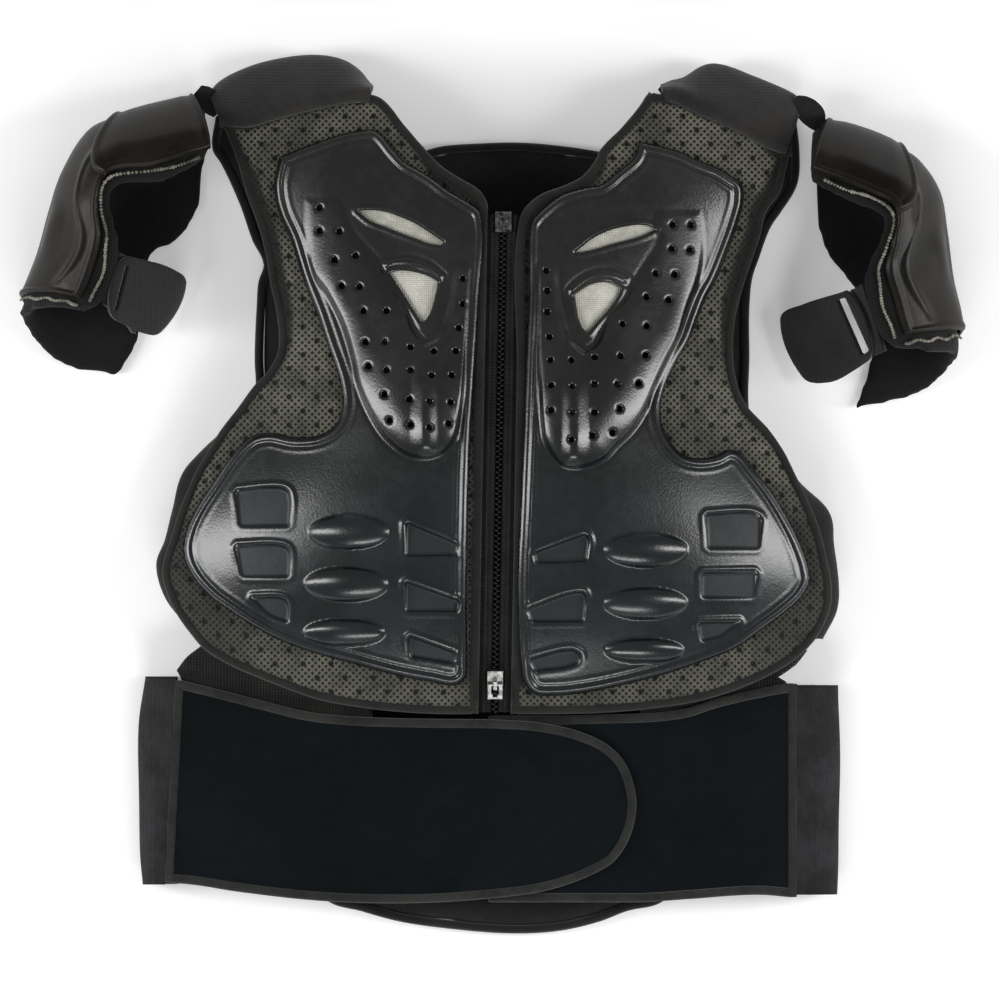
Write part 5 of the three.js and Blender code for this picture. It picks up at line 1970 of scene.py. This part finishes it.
@dataclass
class Belt:
    """Waist belt: two flaps with bound edges, its back, and the elastics."""

    shop: Workshop

    def flap(self, side: str, outline: Sequence, middle: Callable[[Array], Array], under: str) -> None:
        """Makes one flap and its binding.

        Args:
            side: l or r, as seen.
            outline: the flap's outline in layout units.
            middle: height of its middle surface.
            under: the piece it lies on.
        """
        line = flowing(outline, step=4.0)
        inner = inset(line, 3.0)

        def soft(spots: Array, plan: Array) -> Array:
            """Outer face of the pile, low beside its binding."""
            edge = depth_inside(spots, inner, 10)
            swell = 0.9 * ease(-1, 14, edge) + 0.3 * ripple(plan, 0.05, 41) * ease(0, 20, edge)
            return middle(plan) + CLOTH_T / 2 + MM * (swell - 0.4)

        mesh = cut_out(inner, [], 4.0)
        raise_sheet(mesh, soft)
        piece = self.shop.piece(f"flap_{side}", mesh, "plush", Slot.PLUSH)
        tape = flowing(inset(line, 2.6), step=4.0)
        plan = to_plan(tape)
        path = np.column_stack((plan, middle(plan) + MM * 0.08 * ripple(plan, 0.015, 43)))
        mesh = sweep(path, upward(middle, plan),
                     oval_profile(2 * TRIM_W * 0.95, CLOTH_T + 1.5 * MM, 14))
        trim = self.shop.piece(f"flap_trim_{side}", mesh, "trim", Slot.BINDING)
        self.shop.tie(trim, [f"belt_trim_{side}"])
        self.shop.cloth(piece, Hold.LAID, [under], with_pieces=[trim])
        thicken(piece, CLOTH_T)
        self.shop.tie(piece, [f"belt_flap_{side}"])

    def elastics(self) -> None:
        """Makes the wide elastics at the belt's sides."""
        low = CLOTH_T / 2 + FIT_GAP
        for side, rows, flip in (("l", ELASTIC_L, -1.0), ("r", ELASTIC_R, 1.0)):
            spots = []
            for down, inner, wide, under in rows:
                across = np.array([inner, 0.5 * (inner + wide), wide, 0.5 * (under + wide), under])
                plan = to_plan(np.column_stack((across, np.full(5, down))))
                high = belt_middle(plan[:1])[0]
                spots.append(np.column_stack((plan, [high, high - FIT_GAP, (high + low) / 2, low, low])))
            net = Net(np.array(spots), low)
            piece = Wrap(self.shop).closed(f"elastic_{side}", net, (48, 60), CLOTH_T, "elastic",
                                           Slot.ELASTIC, self.gathers, flip=flip,
                                           sheet=(Hold.FOLDED, [f"flap_{side}"]))
            self.shop.tie(piece, [f"belt_elastic_{side}"])

    @staticmethod
    def gathers(spots: Array, s: Array, t: Array) -> Array:
        """Fine gathers across the elastic."""
        return MM * 0.18 * np.sin(s * 2 * math.pi * 46)

    def back(self) -> None:
        """Makes the belt's back."""
        across = np.array([row[0] for row in BELT_BACK])
        top, low = np.array(BELT_BACK, float)[:, 1:].T
        line = np.concatenate((np.column_stack((across, top)), np.column_stack((across, low))[::-1]))

        def rise(spots: Array, plan: Array) -> Array:
            """Height of the belt's back, which lies over the ends of the back panel."""
            away = np.abs(spots[:, 0] - MID_ACROSS + 3)
            over = 1 - ease(224, 272, away)
            return CLOTH_T + FIT_GAP + over * BACK_T

        self.shop.sheet("belt_back_cloth", flowing(line, step=6.0), 6.0, rise, "plush", Slot.PLUSH,
                        Hold.LAID, [], "belt_back")

    def build(self) -> None:
        """Makes the whole belt."""
        self.flap("l", FLAP_L, flap_middle, "flap_r")
        self.flap("r", FLAP_R, belt_middle, "belt_back_cloth")
        self.elastics()
        self.back()


# --- zip


@dataclass
class Zip:
    """Zip with its tapes, coil, sliders and pull.

    Attributes:
        shop: makes the pieces.
        tape: a tape's inner and outer edge from the zip's middle, in layout units.
        cord: the raised line's distance from the zip's middle, in layout units.
        coils: coils of both rows.
        coil_size: their size in millimetres.
        coil_turn: how far they slant, in radians.
    """

    shop: Workshop
    tape: tuple[float, float] = (3.6, 16.0)
    cord: float = 11.0
    coils: int = 190
    coil_size: tuple[float, float, float] = (1.9, 1.15, 1.2)
    coil_turn: float = 0.35

    @staticmethod
    def line(offset: float, count: int = 150) -> Array:
        """Layout points along the zip at a distance from its middle."""
        down = np.linspace(ZIP_TOP, ZIP_LOW, count)
        share = (down - ZIP_TOP) / (ZIP_LOW - ZIP_TOP)
        return np.column_stack((ZIP_TOP_ACROSS + (ZIP_LOW_ACROSS - ZIP_TOP_ACROSS) * share + offset, down))

    def strip(self, name: str, offset: float, profile: Array, rise: float, finish: str, slot: Slot,
              nodes: Sequence[str] = ()) -> None:
        """Runs a profile along the zip.

        Args:
            name: the piece's name.
            offset: distance from the zip's middle in layout units.
            profile: the profile.
            rise: height over the tapes' middle.
            finish: name of its finish.
            slot: the frame's finish it stands for.
            nodes: nodes of the frame it stands for.
        """
        plan = to_plan(self.line(offset))
        path = np.column_stack((plan, panel_middle(plan) + rise))
        mesh = sweep(path, upward(chest, plan), profile, closed=False)
        self.shop.tie(self.shop.piece(name, mesh, finish, slot), nodes)

    def teeth(self) -> None:
        """Makes the two rows of interlocking coils."""
        plan = to_plan(self.line(0.0, self.coils))
        height = panel_middle(plan) + 0.3 * MM
        mesh = bmesh.new()
        size = Matrix.Diagonal((*(MM * length for length in self.coil_size), 1.0))
        for i in range(self.coils):
            side = 1.0 if i % 2 else -1.0
            spot = Vector((plan[i, 0] + side * 0.75 * MM, plan[i, 1], height[i] + 0.5 * MM))
            turn = Matrix.Rotation(side * self.coil_turn, 4, "Z")
            made = bmesh.ops.create_cube(mesh, size=1.0, matrix=Matrix.Translation(spot) @ turn @ size)
            edges = {e for v in made["verts"] for e in v.link_edges}
            bmesh.ops.bevel(mesh, geom=list(edges), offset=0.25 * MM, segments=1, profile=0.5,
                            affect="EDGES", material=-1)
        self.shop.tie(self.shop.piece("zip_coil", mesh, "coil", Slot.DARK), ["zip_teeth"])

    def hardware(self, node: str, name: str, finish: str, slot: Slot, body: Body) -> None:
        """Rounds off a metal piece of the frame.

        Args:
            node: node of the frame.
            name: the piece's name.
            finish: name of its finish.
            slot: the frame's finish it stands for.
            body: the body it moves with.
        """
        mesh = bmesh.new()
        mesh.from_mesh(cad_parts[node].data)
        bmesh.ops.remove_doubles(mesh, verts=mesh.verts[:], dist=0.01 * MM)
        bmesh.ops.dissolve_limit(mesh, angle_limit=0.02, verts=mesh.verts[:], edges=mesh.edges[:])
        sharp = [e for e in mesh.edges if len(e.link_faces) == 2 and e.calc_face_angle(0) > 0.6]
        bmesh.ops.bevel(mesh, geom=sharp, offset=0.22 * MM, segments=2, profile=0.5, affect="EDGES",
                        material=-1)
        self.shop.tie(self.shop.piece(name, mesh, finish, slot, smooth=False), [node], body)

    def build(self) -> None:
        """Makes the whole zip."""
        middle = (self.tape[0] + self.tape[1]) / 2
        width = (self.tape[1] - self.tape[0]) * UNIT
        flat = oval_profile(width, 1.2 * MM, 12, 0.4)
        cord = oval_profile(1.9 * MM, 2.0 * MM, 10)
        for side, way in (("l", -1.0), ("r", 1.0)):
            self.strip(f"tape_{side}", way * middle, flat, 0.0, "tape", Slot.BINDING, [f"zip_tape_{side}"])
            self.strip(f"tape_ridge_{side}", way * self.cord, cord, 0.75 * MM, "tape", Slot.BINDING)
        self.teeth()
        self.hardware("zip_slider", "slider", "silver", Slot.SILVER, Body.VEST)
        self.hardware("zip_pull", "pull", "silver", Slot.SILVER, Body.PULL)
        self.hardware("zip_top_slider", "top_slider", "gunmetal", Slot.DARK, Body.VEST)


# --- arm guards


SIDE_BEADS, END_BEADS = 74, 26
SHOULDER_SHELL = [[0.02, 0.12], [0.4, 0.1], [0.33, 0.64], [0.03, 0.6]]
ARM_SHELL = [[0.33, 0.1], [0.9, 0.13], [0.92, 0.64], [0.29, 0.64]]


def arm_net(rows: Sequence) -> Net:
    """Middle surface of an arm guard, folded over its outer edge."""
    low = PAD_T / 2 + FIT_GAP
    spots = []
    for line, lift in rows:
        heights = [lift[0] * ARM_TOP, lift[1] * ARM_TOP, ARM_FOLD * ARM_TOP, low, low]
        spots.append(np.column_stack((to_plan(line), heights)))
    return Net(np.array(spots), low)


def strap_net(rows: Sequence) -> Net:
    """Middle surface of a strap."""
    table = np.array(rows, float)
    plan = to_plan(table.reshape(-1, 3)).reshape(len(rows), -1, 2)
    return Net(np.concatenate((plan, table[:, :, 2:] * ARM_TOP), axis=2))


def fit_surface(spots: Array, heights: Array) -> Callable[[Array], Array]:
    """Fits a gently curved height field to some points.

    Args:
        spots: layout points.
        heights: their heights.

    Returns:
        A function from layout points to heights.
    """
    middle = spots.mean(0)

    def terms(points: Array) -> Array:
        """Terms of the field at layout points."""
        x, y = ((points - middle) / 50).T
        return np.column_stack((np.ones(len(x)), x, y, x * x, x * y))

    shares = np.linalg.lstsq(terms(spots), heights, rcond=None)[0]
    return lambda points: terms(points) @ shares


@dataclass
class ArmGuard:
    """Folded arm guard with its shells, strap and slotted flap."""

    side: str
    rows: Sequence
    strap: Sequence
    flap: Sequence
    slot: Sequence
    shop: Workshop

    def __post_init__(self) -> None:
        """Draws the guard's surface."""
        self.net = arm_net(self.rows)
        self.flip = -1.0 if self.side == "l" else 1.0
        self.wrap = Wrap(self.shop)

    def pad(self) -> None:
        """Makes the folded pad and fills it."""
        piece = self.wrap.closed(f"guard_{self.side}", self.net, (60, 50), PAD_T, "guard", Slot.CLOTH,
                                 flip=self.flip)
        bake(piece)
        Puffing(voxel=0.003, cap=0.0007, relax=8).fill(piece)
        self.shop.tie(piece, [f"arm_pad_{self.side}"])

    def shell(self, name: str, corners: Sequence, gap: float, relief: Callable, node: str,
              bend: float = 0.0) -> None:
        """Makes one moulded shell.

        Args:
            name: the piece's name.
            corners: part of the guard it covers.
            gap: distance from the pad.
            relief: its raised and sunk forms.
            node: node of the frame it stands for.
            bend: how far its far end waves.
        """
        offset = (PAD_T + SHELL_T) / 2 + gap * MM
        piece = self.wrap.closed(name, self.net, (110, 90), SHELL_T, "shell", Slot.PLATE, relief,
                                 corners, offset, self.flip, bend)
        self.shop.tie(piece, [node])

    @staticmethod
    def rim(s: Array, t: Array, ends: tuple[float, float]) -> Array:
        """Raised and rounded rim of a shell, in millimetres.

        Args:
            s: shares along.
            t: shares across.
            ends: lengths along and across in millimetres.

        Returns:
            Extra height.
        """
        edge = np.minimum.reduce([s * ends[0], (1 - s) * ends[0], t * ends[1], (1 - t) * ends[1]])
        return 0.9 * bell(edge, 2.6, 2.2) - 1.3 * (1 - ease(0, 1.6, edge)) + 0.8 * ease(3, 12, edge)

    def shoulder_relief(self, spots: Array, s: Array, t: Array) -> Array:
        """Rim and crease of the shoulder shell."""
        return MM * self.rim(s, t, (52, 46))

    def arm_relief(self, spots: Array, s: Array, t: Array) -> Array:
        """Rim, long sunk panel and raised lines of the arm shell."""
        wave = 0.3 + 0.08 * np.sin(s * 6.5 + 0.6)
        ends = ease(0.05, 0.18, s) * ease(0.04, 0.14, 1 - s)
        panel = ease(-0.03, 0.05, t - wave) * ease(0.1, 0.2, 0.86 - t) * ends
        line = bell(t, wave - 0.05, 0.05) * ends
        hump = bell(s, 0.62, 0.2) * bell(t, 0.52, 0.14)
        return MM * (self.rim(s, t, (86, 46)) - 1.1 * panel + 0.9 * line + 1.8 * hump)

    def beads(self) -> None:
        """Makes the beaded trim along the guard's inner edge."""
        side = np.linspace(0.07, 0.9, SIDE_BEADS)
        end = np.linspace(0.12, 0.44, END_BEADS)
        along = np.concatenate((side, 0.935 + 0.006 * np.sin(end * 60)))
        across = np.concatenate((0.072 + 0.008 * np.sin(side * 31), end))
        spots = self.net.at(along, across)
        out = self.net.normal(along, across) * self.flip
        rng = np.random.default_rng(5)
        mesh = bmesh.new()
        for spot, way in zip(spots, out):
            size = rng.uniform(0.7, 1.15) * MM
            place = Matrix.Translation(Vector(spot + way * (PAD_T / 2 + 2.1 * MM)))
            bmesh.ops.create_icosphere(mesh, subdivisions=1, radius=size, matrix=place)
        self.shop.tie(self.shop.piece(f"guard_beads_{self.side}", mesh, "beads", Slot.BINDING))

    def straps(self) -> None:
        """Makes the strap and the slotted flap."""
        net = strap_net(self.strap)
        piece = self.wrap.closed(f"strap_{self.side}", net, (16, 30), CLOTH_T, "strap", Slot.CLOTH,
                                 flip=self.flip, sheet=(Hold.STRETCHED, [f"guard_{self.side}"]))
        self.shop.tie(piece, [f"arm_strap_{self.side}"])
        table = np.array(self.flap, float)
        corners = np.concatenate((table[:, 0], table[::-1, 1]))
        line = flowing(rounded(corners[:, :2], 5.0), step=2.0, corner=60)
        base = fit_surface(corners[:, :2], corners[:, 2] * ARM_TOP)
        hole = flowing(rounded(self.slot, 1.5), step=1.5, corner=30)

        def height(spots: Array, plan: Array) -> Array:
            """Outer face of the flap, rounded down at its edge."""
            edge = depth_inside(spots, line, 10)
            return base(spots) + CLOTH_T / 2 + MM * (0.9 * ease(0, 6, edge) - 0.7
                                                     + 0.35 * ripple(plan, 0.02, 51))

        self.shop.sheet(f"slotted_flap_{self.side}", line, 1.5, height, "strap", Slot.CLOTH,
                        Hold.STRETCHED, [f"strap_{self.side}"], f"strap_flap_{self.side}", holes=[hole])

    def build(self) -> None:
        """Makes the whole guard."""
        self.pad()
        self.shell(f"shoulder_cap_{self.side}", SHOULDER_SHELL, 2.9, self.shoulder_relief,
                   f"shoulder_shell_{self.side}", 0.035)
        self.shell(f"arm_cap_{self.side}", ARM_SHELL, 0.9, self.arm_relief, f"arm_shell_{self.side}")
        self.beads()
        self.straps()


@dataclass
class Tabs:
    """Tabs between the shoulder bands and the arm guards."""

    shop: Workshop

    def build(self) -> None:
        """Makes both tabs."""
        for side, outline in (("l", TAB_L), ("r", TAB_R)):
            self.shop.sheet(f"tab_{side}", flowing(outline, step=1.5), 1.5,
                            lambda spots, plan: np.full(len(spots), ARM_FOLD * ARM_TOP), "cloth",
                            Slot.BAND, Hold.STRETCHED, [f"band_{side}", f"guard_{side}"],
                            f"shoulder_tab_{side}", CLOTH_T / 2, 0.3 * MM)


# --- stage


@dataclass
class Studio:
    """Pale floor, soft lights and the camera above.

    Attributes:
        camera_height: in metres.
        sensor: the camera's sensor in millimetres.
        sky: strength of the even light.
        floor_tone: how pale the floor is.
        floor_glow: strength of its own light, which keeps it white.
        aim_height: height that the lamps face.
        lamps: name, place, size and power of each lamp.
    """

    camera_height: float = 12.0
    sensor: float = 36.0
    sky: float = 0.3
    floor_tone: float = 0.93
    floor_glow: float = 0.2
    aim_height: float = 0.03
    lamps: Sequence = (
        ("left", (-1.5, 0.0, 0.82), (0.45, 1.5), 21),
        ("right", (1.5, 0.0, 0.82), (0.45, 1.5), 21),
        ("near", (0.0, -1.35, 0.9), (1.0, 0.3), 9),
    )

    def floor(self) -> None:
        """Makes the pale floor."""
        mesh = bmesh.new()
        bmesh.ops.create_grid(mesh, x_segments=1, y_segments=1, size=6.0)
        ground = add_mesh("floor", mesh)
        material, tree, shader = fresh("floor")
        tree.paint(shader, {"Base Color": (self.floor_tone,) * 3 + (1,), "Roughness": 1.0,
                            "Specular IOR Level": 0.0, "Emission Color": (1, 1, 1, 1),
                            "Emission Strength": self.floor_glow})
        ground.data.materials.append(material)

    def lamp(self, name: str, spot: Sequence[float], size: tuple[float, float], power: float) -> None:
        """Adds a soft lamp that faces the vest.

        Args:
            name: the lamp's name.
            spot: where it stands.
            size: width and height.
            power: in watts.
        """
        light = bpy.data.lights.new(name, "AREA")
        light.shape = "RECTANGLE"
        light.size, light.size_y = size
        light.energy = power
        lamp = link(name, light)
        lamp.location = spot
        aim = Vector((0, 0, self.aim_height)) - Vector(spot)
        lamp.rotation_euler = aim.to_track_quat("-Z", "Y").to_euler()

    def build(self) -> None:
        """Sets up the whole studio."""
        self.floor()
        for name, spot, size, power in self.lamps:
            self.lamp(name, spot, size, power)
        world = bpy.data.worlds.new("studio")
        bpy.context.scene.world = world
        world.use_nodes = True
        tree = Tree(world.node_tree)
        world.node_tree.nodes.clear()
        back = tree.node("ShaderNodeBackground")
        tree.paint(back, {"Color": (1, 1, 1, 1), "Strength": self.sky})
        tree.feed(tree.node("ShaderNodeOutputWorld").inputs["Surface"], back.outputs[0])
        lens = bpy.data.cameras.new("camera")
        lens.sensor_width = self.sensor
        lens.lens = self.sensor * self.camera_height / SPAN
        lens.clip_end = 100.0
        camera = link("camera", lens)
        x, y = to_plan([[500, 500]])[0]
        camera.location = (x, y, self.camera_height)
        bpy.context.scene.camera = camera
        bpy.context.scene.view_settings.view_transform = "Standard"


# --- main


FINISHES = [
    # The plate's lighter upper tones and darker lower tones are painted light and shade.
    Moulded("plate", lit_upper_dark="0f0e0e", lit_upper_light="1b1a19"),
    Moulded("shell", dark="0c0a07", light="1a1611", roughness=0.4, coat=0.04, specular=0.16),
    PunchedKnit("mesh", hole_pitch=HOLE_PITCH * UNIT, hole_radius=2.6 * UNIT),
    Woven("guard", dark="060608", light="0f0f11", pitch=0.0012, sheen=0.05),
    Woven("insert", dark="b4b4a8", light="d3d2c8", pitch=0.0011, roughness=0.8, sheen=0.0, gap=0.12),
    Woven("binding", dark="0c0c0b", light="1d1c1a", pitch=0.0009, own_map=True),
    Woven("lining", dark="101012", light="1e1e21", pitch=0.0012),
    Woven("cloth", dark="0d0d0f", light="1b1b1e", pitch=0.0010),
    Woven("gusset", dark="0c0c0b", light="1e1e1b", pitch=0.0016, height=0.0005),
    Woven("band", dark="171617", light="282624", pitch=0.0008, gap=0.2),
    Woven("strap", dark="0c0c10", light="17171c", pitch=0.0009),
    Woven("trim", dark="141414", light="2a2a28", pitch=0.0009, own_map=True),
    Moulded("coil", dark="060608", light="131318", roughness=0.55, coat=0.0, specular=0.3),
    Plush("plush"),
    Ribbed("elastic", dark="101012", light="2a2a2d", plan=True),
    Ribbed("tape", dark="08080a", light="1c1c20", pitch=0.0012),
    Woven("beads", dark="4a463c", light="9a968a", pitch=0.0008, gap=0.1),
    Metal("silver"),
    Metal("gunmetal", light="2a2a2c", roughness=0.4),
]


def main() -> None:
    """Builds the vest around its frame, then the studio."""
    logging.basicConfig(level=logging.INFO, format="%(relativeCreated)6d ms %(message)s")
    effects = Effects().build()
    shop = Workshop({finish.name: finish.build(effects) for finish in FINISHES})
    halves = [
        Half("l", PANEL_L, PLATE_L, RIDGE_L, HOLES_L, [SLIT_L, FAN_L], BROW_L, WINDOWS_L, OVALS_L, INSERT_L),
        Half("r", PANEL_R, PLATE_R, RIDGE_R, HOLES_R, [SLIT_R, FAN_R], BROW_R, WINDOWS_R, OVALS_R, INSERT_R),
    ]
    for half in halves:
        Plate(half, shop).build()
        FrontPanel(half, shop).build()
    Inserts(halves, shop).build()
    BackPanel(shop).build()
    wrap = Wrap(shop)
    wrap.bands()
    wrap.sides()
    Gussets(shop).build()
    Belt(shop).build()
    Zip(shop).build()
    ArmGuard("l", ARM_L, STRAP_L, STRAP_FLAP_L, SLOT_L, shop).build()
    ArmGuard("r", ARM_R, STRAP_R, STRAP_FLAP_R, SLOT_R, shop).build()
    Tabs(shop).build()
    Studio().build()


if __name__ == "__main__":
    main()
